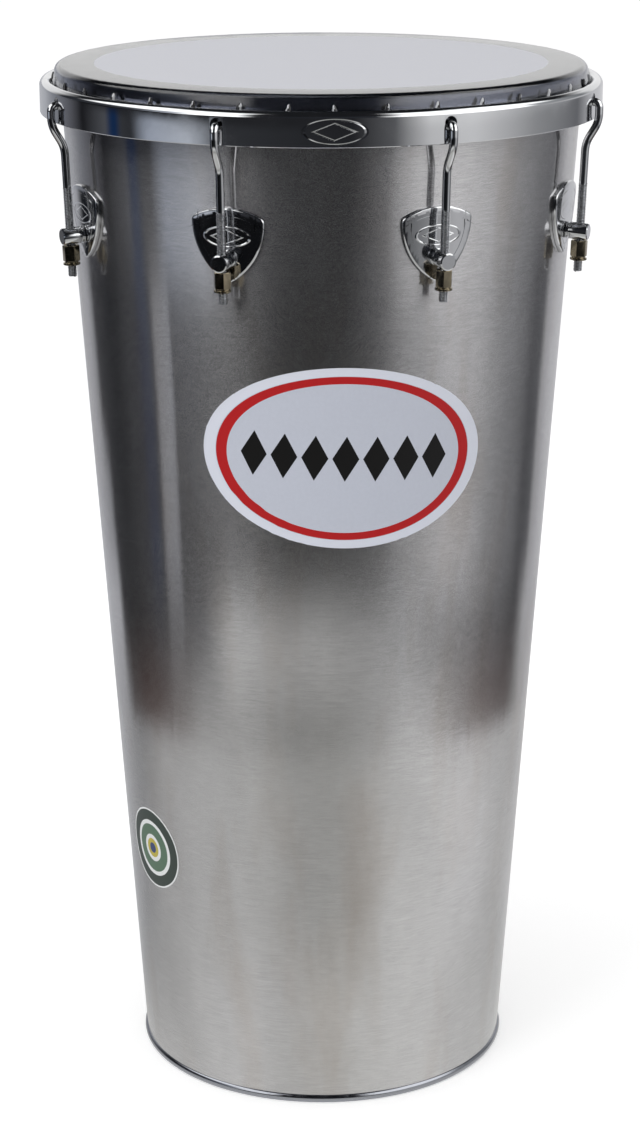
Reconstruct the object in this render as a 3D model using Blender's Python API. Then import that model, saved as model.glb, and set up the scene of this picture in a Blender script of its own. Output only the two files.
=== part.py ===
"""Tall timbal drum with a tapered metal shell, a plastic head and eight hooked tension rods.

Metres, +Z up. The origin is the centre of the foot, on the floor. The front is -Y, midway
between two lugs. In a section, x is the distance from the drum's axis and z is the height.
"""
import math

import bmesh
import bpy
from mathutils import Matrix, Vector

# Fits
GAP = 0.0003                    # between pieces that touch
ROD_CLEARANCE = 0.0006          # round a rod's thread, in its nut and in its post
SCREW_CLEARANCE = 0.0003        # round a lug screw, in the shell, the plate and the post

# Shell: a sheet cone, hemmed inwards at the top, with a rolled bead round its foot
SHELL_HEIGHT = 0.7033           # floor to the top of the bearing edge
SHELL_TOP_RADIUS = 0.1750       # outer, at the bearing edge
SHELL_FOOT_RADIUS = 0.1287      # outer, just above the foot bead
SHELL_WALL = 0.0015
HEM_RADIUS = 0.0020             # of the folded edge that carries the head
HEM_DEPTH = 0.0065              # how far the fold comes down inside
FOOT_BEAD_RADIUS = 0.0030
FOOT_BEAD_PROUD = 0.0020        # how far the bead stands out of the wall
FOOT_FLAT_DEPTH = 0.0004        # flattened by standing, so the foot has a flat ring

# Head: a film with a collar, held by a channelled flesh hoop
FILM_THICKNESS = 0.0004
FILM_OVERHANG = 0.0028          # of the collar, outside the shell
FILM_SHOULDER_RADIUS = 0.0044
COLLAR_FLARE = 0.0014           # how much wider the collar is at its foot
COLLAR_DEPTH = 0.0127           # top of the head to the top of the flesh hoop
FLESH_HOOP_WIDTH = 0.0056
FLESH_HOOP_HEIGHT = 0.0080
FLESH_SLOT_DEPTH = 0.0060
FLESH_SLOT_WIDTH = 0.0012

# Counterhoop: a band with a rounded lip turned in over the flesh hoop
BAND_WALL = 0.0018
BAND_HEIGHT = 0.0220            # lower edge to the top of the lip
HOOK_ROOM = 0.0045              # between the flesh hoop and the band, for the rods' ends
LIP_RADIUS = 0.0042             # outer radius of the lip's bend
LIP_SWEEP = 125                 # degrees of that bend
LIP_TAIL = 0.0019               # straight stretch after the bend
HOOK_HOLE_RADIUS = 0.0041
HOOK_HOLE_DROP = 0.0089         # centre of a hook hole below the top of the lip

# Lugs: a shield-shaped plate with a round post, screwed on from inside the shell
LUG_COUNT = 8
LUG_DROP = 0.1027               # bearing edge down to where a post's axis meets the shell
PLATE_WIDTH = 0.0480            # the same at every angle, a rounded Reuleaux triangle
PLATE_CORNER = 0.0040
PLATE_THICKNESS = 0.0030
PLATE_BEVEL = 0.0009
PLATE_TIP_DROP = 0.0157         # lower tip of the plate below the post's axis
POST_RADIUS = 0.0056
POST_LENGTH = 0.0150
POST_CHAMFER = 0.0009
POST_FOOT_HEIGHT = 0.0012       # of the ring at the post's foot
POST_NECK_RADIUS = 0.0046
POST_NECK_HEIGHT = 0.0009
POST_WEB = 0.0010               # metal between the screw's bore and the rod's hole
ROD_INSET = 0.0059              # rod's axis behind the end of the post

# Tension rods and nuts
ROD_RADIUS = 0.00265
THREAD_RADIUS = 0.0030
THREAD_LENGTH = 0.0585
ROD_LEAN = 2.2                  # degrees outwards, going up
ROD_TIP_DROP = 0.0080           # tip of the rod below the foot of its nut
HOOK_BEND_RADIUS = 0.0036       # of the axis; the bend ends at the band's outer face
HOOK_END_CLEARANCE = 0.0011
JOG_DROP = 0.0010               # upper corner of the outward jog below the band
JOG_HEIGHT = 0.0140             # corner to corner
JOG_BEND_RADIUS = 0.0200
NUT_FLATS = 0.0100
NUT_HEIGHT = 0.0130
NUT_CHAMFER = 0.0007
NUT_COLLAR_RADIUS = 0.0056
NUT_COLLAR_HEIGHT = 0.0016
NUT_NECK_RADIUS = 0.0045
NUT_NECK_HEIGHT = 0.0009

# Lug screws, inside the shell
SCREW_RADIUS = 0.0030
SCREW_HEAD_FLATS = 0.0100
SCREW_HEAD_HEIGHT = 0.0040
WASHER_RADIUS = 0.0062
WASHER_THICKNESS = 0.0012

# Facets
ROUND_SIDES = 64                # of the shell, head and hoops; a multiple of twice LUG_COUNT
POST_SIDES = 12
HEX_SIDES = 12                  # of a ring that can be a hexagon or a circle
WASHER_SIDES = 8
ROD_RESOLUTION = 1              # gives a round rod 8 sides
SMOOTH_ANGLE = math.radians(35)

# Derived sizes that more than one piece uses
SHELL_SLOPE = (SHELL_TOP_RADIUS - SHELL_FOOT_RADIUS) / SHELL_HEIGHT
SHELL_TILT = math.atan(SHELL_SLOPE)
LUG_HEIGHT = SHELL_HEIGHT - LUG_DROP
HEAD_TOP = SHELL_HEIGHT + GAP + FILM_THICKNESS
FILM_RADIUS = SHELL_TOP_RADIUS + FILM_OVERHANG
FLESH_HOOP_TOP = HEAD_TOP - COLLAR_DEPTH
FLESH_SLOT_CENTRE = FILM_RADIUS + COLLAR_FLARE - FILM_THICKNESS / 2
FLESH_HOOP_OUTER = FLESH_SLOT_CENTRE + FLESH_HOOP_WIDTH / 2
BAND_RADIUS = FLESH_HOOP_OUTER + HOOK_ROOM + BAND_WALL
FACET_DROP = 1 - math.cos(math.pi / ROUND_SIDES)    # flat facet inside its circle, per radius


def shell_radius(z):
    """Outer radius of the shell's wall at a height."""
    return SHELL_FOOT_RADIUS + SHELL_SLOPE * z


LUG_RADIUS = shell_radius(LUG_HEIGHT)
POST_FOOT = PLATE_THICKNESS + 2 * GAP               # post's foot above the shell, on its axis


# Section helpers

def arc(centre_x, centre_z, radius, start, end, steps):
    """Points of an arc in a section, angles in degrees, both ends included."""
    angles = [math.radians(start + (end - start) * i / steps) for i in range(steps + 1)]
    return [(centre_x + radius * math.cos(a), centre_z + radius * math.sin(a)) for a in angles]


def rounded_path(corners, bends, steps):
    """A run of straight stretches whose inner corners are arcs of the given radii."""
    points = [Vector(corners[0])]
    for before, corner, after, bend in zip(corners, corners[1:], corners[2:], bends):
        corner = Vector(corner)
        into = (corner - Vector(before)).normalized()
        out = (Vector(after) - corner).normalized()
        turn = into.angle(out)
        setback = bend * math.tan(turn / 2)
        side = (out - into).normalized()
        centre = corner + side * bend / math.cos(turn / 2)
        start = corner - into * setback - centre
        for i in range(steps + 1):
            t = turn * i / steps
            points.append(centre + start * math.cos(t) + into * bend * math.sin(t))
    points.append(Vector(corners[-1]))
    return points


# Scene helpers

def material(name, colour, roughness, metallic):
    """A Principled material in a linear colour."""
    made = bpy.data.materials.new(name)
    made.use_nodes = True
    shader = made.node_tree.nodes["Principled BSDF"]
    shader.inputs["Base Color"].default_value = (*colour, 1)
    shader.inputs["Roughness"].default_value = roughness
    shader.inputs["Metallic"].default_value = metallic
    made.diffuse_color = (*colour, 1)
    return made


def place(name, data, finish, matrix=Matrix()):
    """Put a mesh or curve into the scene under a name, with its finish."""
    made = bpy.data.objects.new(name, data)
    made.matrix_world = matrix
    bpy.context.scene.collection.objects.link(made)
    if not data.materials:
        data.materials.append(finish)
    return made


def finished_mesh(name, bm):
    """Turn a bmesh into a closed, smooth-shaded mesh whose faces point out."""
    bmesh.ops.remove_doubles(bm, verts=bm.verts, dist=1e-6)
    bmesh.ops.recalc_face_normals(bm, faces=bm.faces)
    mesh = bpy.data.meshes.new(name)
    bm.to_mesh(mesh)
    bm.free()
    mesh.shade_smooth()
    mesh.set_sharp_from_angle(angle=SMOOTH_ANGLE)
    return mesh


def turned(name, section, sides, ring=True):
    """Spin a section round Z. A ring's section closes on itself; a solid's ends on the axis."""
    bm = bmesh.new()
    phase = Matrix.Rotation(math.pi / sides, 4, "Z")    # lugs come at the middle of a facet
    verts = [bm.verts.new(phase @ Vector((x, 0, z))) for x, z in section]
    pairs = list(zip(verts, verts[1:]))
    if ring:
        pairs.append((verts[-1], verts[0]))
    edges = [bm.edges.new(pair) for pair in pairs]
    bmesh.ops.spin(bm, geom=verts + edges, cent=(0, 0, 0), axis=(0, 0, 1),
                   angle=math.tau, steps=sides, use_merge=True)
    return finished_mesh(name, bm)


def lofted(name, rings, ring=True):
    """Skin a run of point rings of one count: closed on itself, or capped at its two ends."""
    bm = bmesh.new()
    loops = [[bm.verts.new(point) for point in points] for points in rings]
    followers = loops[1:] + ([loops[0]] if ring else [])
    for lower, upper in zip(loops, followers):
        for i in range(len(lower)):
            j = (i + 1) % len(lower)
            bm.faces.new((lower[i], lower[j], upper[j], upper[i]))
    if not ring:
        bm.faces.new(loops[0])
        bm.faces.new(loops[-1])
    return finished_mesh(name, bm)


def merged(name, mesh, matrices):
    """One mesh with a copy of another at each place, as separate solids."""
    bm = bmesh.new()
    for matrix in matrices:
        first = len(bm.verts)
        bm.from_mesh(mesh)
        bm.verts.ensure_lookup_table()
        bmesh.ops.transform(bm, matrix=matrix, verts=bm.verts[first:])
    return finished_mesh(name, bm)


def cutter(name, mesh):
    """A solid that only cuts others."""
    made = bpy.data.objects.new(name, mesh)
    bpy.context.scene.collection.objects.link(made)
    made.hide_render = True
    made.display_type = "WIRE"
    return made


def cut(target, tool):
    """Take a cutter out of a piece."""
    boolean = target.modifiers.new("Cut " + tool.name, "BOOLEAN")
    boolean.operation = "DIFFERENCE"
    boolean.solver = "EXACT"
    boolean.object = tool


def cylinder(name, radius, start, end, sides):
    """A plain cylinder along Z between two heights."""
    return turned(name, [(0, start), (radius, start), (radius, end), (0, end)], sides, ring=False)


# Places round the drum

def lug_turns():
    """Rotation of each lug about the drum's axis, the first one right of the front."""
    step = math.tau / LUG_COUNT
    return [Matrix.Rotation(-math.pi / 2 + step * (i + 0.5), 4, "Z") for i in range(LUG_COUNT)]


def lug_frame(offset):
    """Frame on a lug's axis: Z points out of the shell, square to its wall."""
    point = Vector((LUG_RADIUS, 0, LUG_HEIGHT))
    outwards = Vector((math.cos(SHELL_TILT), 0, -math.sin(SHELL_TILT)))
    turn = Matrix.Rotation(math.pi / 2 + SHELL_TILT, 4, "Y")
    return Matrix.Translation(point + outwards * offset) @ turn


def rod_crossing():
    """Where a rod's axis crosses its post's axis, in the lug's plane."""
    crossing = lug_frame(POST_FOOT + POST_LENGTH - ROD_INSET).translation
    return Vector((crossing.x, crossing.z))


def rod_direction():
    """Up along a rod's straight stretch, in the lug's plane."""
    return Vector((math.sin(math.radians(ROD_LEAN)), math.cos(math.radians(ROD_LEAN))))


def rod_frame(drop):
    """Frame on a rod's axis, a distance below its post's axis, with Z up the rod."""
    point = rod_crossing() - rod_direction() * drop
    turn = Matrix.Rotation(math.radians(ROD_LEAN), 4, "Y")
    return Matrix.Translation((point.x, 0, point.y)) @ turn


# Sections

def shell_section():
    """Wall, hemmed bearing edge and foot bead, as one closed outline."""
    hem_z = SHELL_HEIGHT - HEM_RADIUS
    hem_x = SHELL_TOP_RADIUS - HEM_RADIUS
    hem_foot = hem_z - HEM_DEPTH
    bead_z = FOOT_BEAD_RADIUS - FOOT_FLAT_DEPTH
    bead_x = SHELL_FOOT_RADIUS + FOOT_BEAD_PROUD - FOOT_BEAD_RADIUS
    flat = math.degrees(math.asin(bead_z / FOOT_BEAD_RADIUS))
    bead_top = 2 * FOOT_BEAD_RADIUS - FOOT_FLAT_DEPTH
    outside = arc(hem_x, hem_z, HEM_RADIUS, 0, 180, 3)
    fold = [(hem_x - HEM_RADIUS, hem_foot), (shell_radius(hem_foot) - SHELL_WALL, hem_foot - GAP)]
    inside = [(shell_radius(bead_top) - SHELL_WALL, bead_top)]
    bead = arc(bead_x, bead_z, FOOT_BEAD_RADIUS, 150, 180 + flat, 2)
    bead += arc(bead_x, bead_z, FOOT_BEAD_RADIUS, 360 - flat, 410, 3)
    return outside + fold + inside + bead + [(shell_radius(bead_top), bead_top)]


def film_section():
    """Flat playing face, shoulder and flared collar, from the axis and back to it."""
    foot = FLESH_HOOP_TOP - FLESH_SLOT_DEPTH + GAP
    centre_x = FILM_RADIUS - FILM_SHOULDER_RADIUS
    centre_z = HEAD_TOP - FILM_SHOULDER_RADIUS
    under = FILM_SHOULDER_RADIUS - FILM_THICKNESS
    over = arc(centre_x, centre_z, FILM_SHOULDER_RADIUS, 90, 0, 3)
    back = arc(centre_x, centre_z, under, 0, 90, 2)
    flared = FILM_RADIUS + COLLAR_FLARE
    collar = [(flared, FLESH_HOOP_TOP), (flared, foot)]
    collar += [(x - FILM_THICKNESS, z) for x, z in reversed(collar)]
    return [(0, HEAD_TOP)] + over + collar + back + [(0, HEAD_TOP - FILM_THICKNESS)]


def flesh_hoop_section():
    """Channel, open upwards, round the foot of the collar."""
    inner = FLESH_SLOT_CENTRE - FLESH_HOOP_WIDTH / 2
    slot_in = FLESH_SLOT_CENTRE - FLESH_SLOT_WIDTH / 2
    slot_out = FLESH_SLOT_CENTRE + FLESH_SLOT_WIDTH / 2
    low = FLESH_HOOP_TOP - FLESH_HOOP_HEIGHT
    slot_low = FLESH_HOOP_TOP - FLESH_SLOT_DEPTH
    return [(inner, low), (FLESH_HOOP_OUTER, low), (FLESH_HOOP_OUTER, FLESH_HOOP_TOP),
            (slot_out, FLESH_HOOP_TOP), (slot_out, slot_low), (slot_in, slot_low),
            (slot_in, FLESH_HOOP_TOP), (inner, FLESH_HOOP_TOP)]


def lip_centre():
    """Centre of the lip's bend: the lip's tail rests on the flesh hoop."""
    inner = LIP_RADIUS - BAND_WALL
    sweep = math.radians(LIP_SWEEP)
    tail_low = inner * math.sin(sweep) + LIP_TAIL * math.cos(sweep)
    return BAND_RADIUS - LIP_RADIUS, FLESH_HOOP_TOP + GAP - tail_low


def band_low():
    """Height of the band's lower edge."""
    return lip_centre()[1] + LIP_RADIUS - BAND_HEIGHT


def band_section():
    """Upright band and rounded lip, one thickness throughout."""
    x, z = lip_centre()
    low = band_low()
    sweep = math.radians(LIP_SWEEP)
    tail = Vector((-math.sin(sweep), math.cos(sweep))) * LIP_TAIL
    outer = arc(x, z, LIP_RADIUS, 0, LIP_SWEEP, 4)
    inner = arc(x, z, LIP_RADIUS - BAND_WALL, LIP_SWEEP, 0, 2)
    outer.append((outer[-1][0] + tail.x, outer[-1][1] + tail.y))
    inner.insert(0, (inner[0][0] + tail.x, inner[0][1] + tail.y))
    return [(BAND_RADIUS - BAND_WALL, low), (BAND_RADIUS, low)] + outer + inner


def hook_hole_height():
    """Height of the centres of the counterhoop's hook holes."""
    return lip_centre()[1] + LIP_RADIUS - HOOK_HOLE_DROP


def post_section():
    """Ringed foot, neck and plain barrel, with a blind bore for the lug screw."""
    bore = SCREW_RADIUS + SCREW_CLEARANCE
    depth = POST_LENGTH - ROD_INSET - THREAD_RADIUS - ROD_CLEARANCE - POST_WEB
    neck = POST_FOOT_HEIGHT
    return [(0, depth), (bore, depth), (bore, 0), (POST_RADIUS, 0), (POST_RADIUS, neck),
            (POST_NECK_RADIUS, neck), (POST_NECK_RADIUS, neck + POST_NECK_HEIGHT),
            (POST_RADIUS, neck + POST_NECK_HEIGHT), (POST_RADIUS, POST_LENGTH - POST_CHAMFER),
            (POST_RADIUS - POST_CHAMFER, POST_LENGTH), (0, POST_LENGTH)]


def rod_points():
    """Axis of a tension rod in its lug's plane: straight, jogged out, then hooked inwards."""
    direction = rod_direction()
    nut_drop = POST_RADIUS + GAP + NUT_HEIGHT
    tip = rod_crossing() - direction * (nut_drop + ROD_TIP_DROP)
    hook_z = hook_hole_height() - HOOK_HOLE_RADIUS + ROD_RADIUS + GAP
    hook_x = BAND_RADIUS + HOOK_BEND_RADIUS
    jog_top = band_low() - JOG_DROP
    jog = tip + direction * ((jog_top - JOG_HEIGHT - tip.y) / direction.y)
    hook_end = FLESH_HOOP_OUTER + HOOK_END_CLEARANCE
    thread_top = tip + direction * THREAD_LENGTH
    corners = [thread_top, jog, (hook_x, jog_top), (hook_x, hook_z), (hook_end, hook_z)]
    bends = [JOG_BEND_RADIUS, JOG_BEND_RADIUS, HOOK_BEND_RADIUS]
    path = rounded_path(corners, bends, 3)
    return tip, thread_top, path[1:]


# Lug plate

def plate_outline():
    """Outline of a plate as (point, outward normal), from rounded corners and long arcs.

    The corners sit on an equilateral triangle, point down, and each side is an arc about
    the corner opposite to it. The post's axis is at (0, 0).
    """
    side = PLATE_WIDTH - 2 * PLATE_CORNER
    tip = Vector((0, PLATE_CORNER - PLATE_TIP_DROP))
    rise = Vector((0, side * math.sin(math.pi / 3)))
    corners = [tip, tip + rise + Vector((side / 2, 0)), tip + rise - Vector((side / 2, 0))]
    outline = []
    for i, corner in enumerate(corners):
        facing = -90 + 120 * i
        opposite = corners[(i + 2) % 3]
        runs = [(corner, PLATE_CORNER, facing - 30, 3),
                (opposite, side + PLATE_CORNER, facing + 30, 3)]
        for centre, radius, start, steps in runs:
            for step in range(steps):
                angle = math.radians(start + 60 * step / steps)
                normal = Vector((math.cos(angle), math.sin(angle)))
                outline.append((centre + normal * radius, normal))
    return outline


def on_shell(point, offset):
    """Wrap a point of the flat plate onto the cone, at an offset from the shell's wall."""
    radius = LUG_RADIUS + point.y * math.sin(SHELL_TILT)
    turn = point.x / radius
    radius += offset * math.cos(SHELL_TILT)
    height = LUG_HEIGHT + point.y * math.cos(SHELL_TILT) - offset * math.sin(SHELL_TILT)
    return Vector((radius * math.cos(turn), radius * math.sin(turn), height))


def plate_mesh():
    """Plate lofted from its outline to its screw hole, bevelled round its front."""
    outline = plate_outline()
    edge = [point for point, normal in outline]
    inset = [point - normal * PLATE_BEVEL for point, normal in outline]
    start = math.atan2(edge[0].y, edge[0].x)
    turns = [start + math.tau * i / len(edge) for i in range(len(edge))]
    hole = [Vector((math.cos(a), math.sin(a))) * (SCREW_RADIUS + SCREW_CLEARANCE) for a in turns]
    middle = [(rim + bore) / 2 for rim, bore in zip(edge, hole)]
    back = GAP
    front = GAP + PLATE_THICKNESS
    rings = [(hole, back), (middle, back), (edge, back), (edge, front - PLATE_BEVEL),
             (inset, front), (middle, front), (hole, front)]
    return lofted("lug plate", [[on_shell(p, offset) for p in ring] for ring, offset in rings])


# Hexagonal pieces

def circle_ring(radius, z):
    """Ring of points on a circle."""
    angles = [math.tau * i / HEX_SIDES for i in range(HEX_SIDES)]
    return [Vector((radius * math.cos(a), radius * math.sin(a), z)) for a in angles]


def hex_ring(flats, z):
    """Ring of points on a hexagon: its corners and the middles of its sides."""
    corner = flats / 2 / math.cos(math.pi / 6)
    points = circle_ring(flats / 2, z)
    return [Vector((p.x * corner * 2 / flats, p.y * corner * 2 / flats, z)) if i % 2 else p
            for i, p in enumerate(points)]


def nut_mesh():
    """Tall hexagon nut, chamfered on top, with a neck and a round collar at its foot."""
    bore = THREAD_RADIUS + ROD_CLEARANCE
    collar = NUT_COLLAR_HEIGHT - NUT_HEIGHT
    neck = collar + NUT_NECK_HEIGHT
    rings = [circle_ring(bore, 0), circle_ring(NUT_FLATS / 2, 0),
             hex_ring(NUT_FLATS, -NUT_CHAMFER), hex_ring(NUT_FLATS, neck),
             circle_ring(NUT_NECK_RADIUS, neck), circle_ring(NUT_NECK_RADIUS, collar),
             circle_ring(NUT_COLLAR_RADIUS, collar), circle_ring(NUT_COLLAR_RADIUS, -NUT_HEIGHT),
             circle_ring(bore, -NUT_HEIGHT)]
    return lofted("tension nut", rings)


def inner_face():
    """Offset from the shell's outer wall to its inner facet, at a lug."""
    return -(SHELL_WALL + LUG_RADIUS * FACET_DROP + GAP)


def screw_mesh():
    """Hexagon screw whose shank ends in the post's bore, in the lug's frame."""
    head_low = inner_face() - WASHER_THICKNESS - GAP
    bore_depth = POST_LENGTH - ROD_INSET - THREAD_RADIUS - ROD_CLEARANCE - POST_WEB
    tip = POST_FOOT + bore_depth - GAP
    rings = [hex_ring(SCREW_HEAD_FLATS, head_low - SCREW_HEAD_HEIGHT),
             hex_ring(SCREW_HEAD_FLATS, head_low),
             circle_ring(SCREW_RADIUS, head_low), circle_ring(SCREW_RADIUS, tip)]
    return lofted("lug screw", rings, ring=False)


def washer_mesh():
    """Plain washer against the inside of the shell, in the lug's frame."""
    top = inner_face()
    low = top - WASHER_THICKNESS
    bore = SCREW_RADIUS + SCREW_CLEARANCE
    section = [(bore, low), (WASHER_RADIUS, low), (WASHER_RADIUS, top), (bore, top)]
    return turned("lug washer", section, WASHER_SIDES)


# Pieces

def make_shell(finish, screw_holes):
    shell = place("shell", turned("shell", shell_section(), ROUND_SIDES), finish)
    cut(shell, screw_holes)


def make_head(film, metal):
    place("head_film", turned("head film", film_section(), ROUND_SIDES, ring=False), film)
    place("flesh_hoop", turned("flesh hoop", flesh_hoop_section(), ROUND_SIDES), metal)


def make_counterhoop(finish, hook_holes):
    hoop = place("counterhoop", turned("counterhoop", band_section(), ROUND_SIDES), finish)
    cut(hoop, hook_holes)


def make_plates(finish):
    mesh = plate_mesh()
    for number, turn in enumerate(lug_turns(), 1):
        place(f"lug_plate_{number}", mesh, finish, turn)


def make_posts(finish):
    """Posts, each drilled across for its rod."""
    mesh = turned("lug post", post_section(), POST_SIDES, ring=False)
    mesh.transform(lug_frame(POST_FOOT))
    drill_radius = THREAD_RADIUS + ROD_CLEARANCE
    drill = cylinder("rod hole", drill_radius, -2 * POST_RADIUS, 2 * POST_RADIUS, POST_SIDES)
    drill.transform(rod_frame(0))
    for number, turn in enumerate(lug_turns(), 1):
        tool = cutter(f"rod_hole_{number}", drill)
        tool.matrix_world = turn
        cut(place(f"lug_post_{number}", mesh, finish, turn), tool)


def make_rods(finish):
    """Rods as bevelled curves, wider along the rolled thread."""
    tip, thread_top, path = rod_points()
    swell = THREAD_RADIUS / ROD_RADIUS
    step = rod_direction() * (THREAD_RADIUS - ROD_RADIUS)
    stations = [(tip, 1), (tip + step, swell), (thread_top - step, swell), (thread_top, 1)]
    stations += [(point, 1) for point in path]
    curve = bpy.data.curves.new("tension rod", "CURVE")
    curve.dimensions = "3D"
    curve.bevel_depth = ROD_RADIUS
    curve.bevel_resolution = ROD_RESOLUTION
    curve.use_fill_caps = True
    spline = curve.splines.new("POLY")
    spline.points.add(len(stations) - 1)
    for point, (place_on_axis, width) in zip(spline.points, stations):
        point.co = (place_on_axis[0], 0, place_on_axis[1], 1)
        point.radius = width
    spline.use_smooth = True
    for number, turn in enumerate(lug_turns(), 1):
        place(f"tension_rod_{number}", curve, finish, turn)


def make_nuts(finish):
    """Nuts under the posts, each with its origin on its rod's axis."""
    mesh = nut_mesh()
    frame = rod_frame(POST_RADIUS + GAP)
    for number, turn in enumerate(lug_turns(), 1):
        place(f"tension_nut_{number}", mesh, finish, turn @ frame)


def make_lug_fasteners(finish):
    """A screw and a washer behind each lug."""
    screw = screw_mesh()
    washer = washer_mesh()
    for number, turn in enumerate(lug_turns(), 1):
        place(f"lug_screw_{number}", screw, finish, turn @ lug_frame(0))
        place(f"lug_washer_{number}", washer, finish, turn @ lug_frame(0))


def make_cutters():
    """Screw holes for the shell and hook holes for the counterhoop."""
    screw_hole = cylinder("screw hole", SCREW_RADIUS + SCREW_CLEARANCE,
                          -4 * SHELL_WALL, 4 * SHELL_WALL, HEX_SIDES)
    screw_holes = merged("screw holes", screw_hole,
                         [turn @ lug_frame(0) for turn in lug_turns()])
    hook_hole = cylinder("hook hole", HOOK_HOLE_RADIUS, BAND_RADIUS - 2 * BAND_WALL,
                         BAND_RADIUS + BAND_WALL, HEX_SIDES)
    raised = Matrix.Translation((0, 0, hook_hole_height())) @ Matrix.Rotation(math.pi / 2, 4, "Y")
    hook_holes = merged("hook holes", hook_hole, [turn @ raised for turn in lug_turns()])
    return cutter("screw_holes", screw_holes), cutter("hook_holes", hook_holes)


def main():
    for old in list(bpy.data.objects):
        bpy.data.objects.remove(old, do_unlink=True)
    aluminium = material("polished aluminium", (0.62, 0.62, 0.63), 0.28, 1)
    mill_aluminium = material("plain aluminium", (0.56, 0.56, 0.57), 0.45, 1)
    chrome = material("chrome plate", (0.68, 0.69, 0.70), 0.06, 1)
    nickel = material("warm nickel plate", (0.50, 0.45, 0.34), 0.22, 1)
    zinc = material("zinc plate", (0.45, 0.46, 0.47), 0.35, 1)
    film = material("coated film", (0.72, 0.72, 0.71), 0.40, 0)
    screw_holes, hook_holes = make_cutters()
    make_shell(aluminium, screw_holes)
    make_head(film, mill_aluminium)
    make_counterhoop(chrome, hook_holes)
    make_plates(chrome)
    make_posts(chrome)
    make_rods(chrome)
    make_nuts(nickel)
    make_lug_fasteners(zinc)


main()
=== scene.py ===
# %% [markdown]
# # A timbal drum
# A timbal is a tall hand drum: a tapered metal shell, open at the foot, with a plastic head
# that a metal hoop pulls down. Eight hooked rods hang from the hoop, and each ends in a nut
# under a post on the shell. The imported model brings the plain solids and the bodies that
# they ride on. This script gives each of them its finished shape and its finish.

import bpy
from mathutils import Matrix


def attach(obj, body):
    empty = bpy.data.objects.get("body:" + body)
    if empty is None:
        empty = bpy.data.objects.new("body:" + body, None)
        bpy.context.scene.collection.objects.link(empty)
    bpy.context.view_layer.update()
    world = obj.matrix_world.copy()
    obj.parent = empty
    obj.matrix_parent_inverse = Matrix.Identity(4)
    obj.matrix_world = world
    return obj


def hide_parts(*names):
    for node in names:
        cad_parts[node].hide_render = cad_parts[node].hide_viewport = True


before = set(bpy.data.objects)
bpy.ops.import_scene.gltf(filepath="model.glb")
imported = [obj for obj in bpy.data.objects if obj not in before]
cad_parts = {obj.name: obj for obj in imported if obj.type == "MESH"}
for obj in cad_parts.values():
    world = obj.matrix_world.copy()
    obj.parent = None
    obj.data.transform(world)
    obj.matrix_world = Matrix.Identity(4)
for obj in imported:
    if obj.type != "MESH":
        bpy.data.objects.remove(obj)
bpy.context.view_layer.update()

# %% Modules
import math

import bmesh
import bpy
from mathutils import Matrix, Vector

# %% [markdown]
# ## Camera
# The photograph was taken from a little above the head with a long lens, so the sides of
# the drum stay almost parallel in depth. The camera's place was worked out from the
# ellipses of the head, the hoop and the foot.

# %% Camera
CAMERA_PLACE = (-0.0841, -1.8895, 0.9244)
CAMERA_LENS = 88.68             # millimetres, on a 36 mm sensor along the long side
CAMERA_HEADING = math.radians(-2.51)
CAMERA_DIP = math.radians(16.93)
CAMERA_ROLL = math.radians(-0.09)

bpy.ops.object.select_all(action="DESELECT")
bpy.ops.object.camera_add(location=CAMERA_PLACE)
camera = bpy.context.object
camera.name = "camera"
camera.data.lens = CAMERA_LENS
aim = (Matrix.Rotation(CAMERA_HEADING, 4, "Z")
       @ Matrix.Rotation(math.pi / 2 - CAMERA_DIP, 4, "X")
       @ Matrix.Rotation(CAMERA_ROLL, 4, "Z"))
camera.rotation_euler = aim.to_euler()
bpy.context.scene.camera = camera
print("camera looks along", [round(v, 3) for v in aim @ Vector((0, 0, -1))])

# %% [markdown]
# ## Colour and nodes
# A colour is picked as it looks on a screen, which is an sRGB hex value, but the shader
# works with linear light. One function turns one into the other. Another adds a node with
# its settings and links, so that a material reads as a short list of nodes. Metal, film and
# vinyl are never quite even, so most finishes start from a grain: a noise on the piece's
# own coordinates, which are in metres. A scale of 500 makes patches of about 2 mm.

# %% Helpers for materials
def linear(code):
    """Linear colour of an sRGB hex value."""
    parts = [int(code[i:i + 2], 16) / 255 for i in (1, 3, 5)]
    return tuple(p / 12.92 if p <= 0.04045 else ((p + 0.055) / 1.055) ** 2.4
                 for p in parts) + (1.0,)


def set_inputs(tree, node, inputs):
    """Give inputs a plain value, a link to an output, or a link to a node's first output."""
    for name, value in inputs.items():
        if isinstance(value, bpy.types.Node):
            value = value.outputs[0]
        if isinstance(value, bpy.types.NodeSocket):
            tree.links.new(value, node.inputs[name])
        else:
            node.inputs[name].default_value = value


def add_node(tree, kind, inputs=None, **settings):
    """Add a node with its settings and inputs."""
    node = tree.nodes.new("ShaderNode" + kind)
    for name, value in settings.items():
        setattr(node, name, value)
    set_inputs(tree, node, inputs or {})
    return node


def new_finish(name, inputs):
    """A Principled material with the values that are the same all over the surface."""
    finish = bpy.data.materials.new(name)
    finish.use_nodes = True
    tree = finish.node_tree
    shader = tree.nodes["Principled BSDF"]
    set_inputs(tree, shader, inputs)
    return finish, tree, shader


def grain(tree, scale, detail, roughness=0.5, stretch=(1, 1, 1), shift=(0, 0, 0)):
    """Uneven patches from 0 to 1, with the scale per metre."""
    place = add_node(tree, "TexCoord").outputs["Object"]
    stretched = add_node(tree, "Mapping", {"Vector": place, "Location": shift, "Scale": stretch})
    return add_node(tree, "TexNoise", {
        "Vector": stretched, "Scale": scale, "Detail": detail, "Roughness": roughness})


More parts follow.
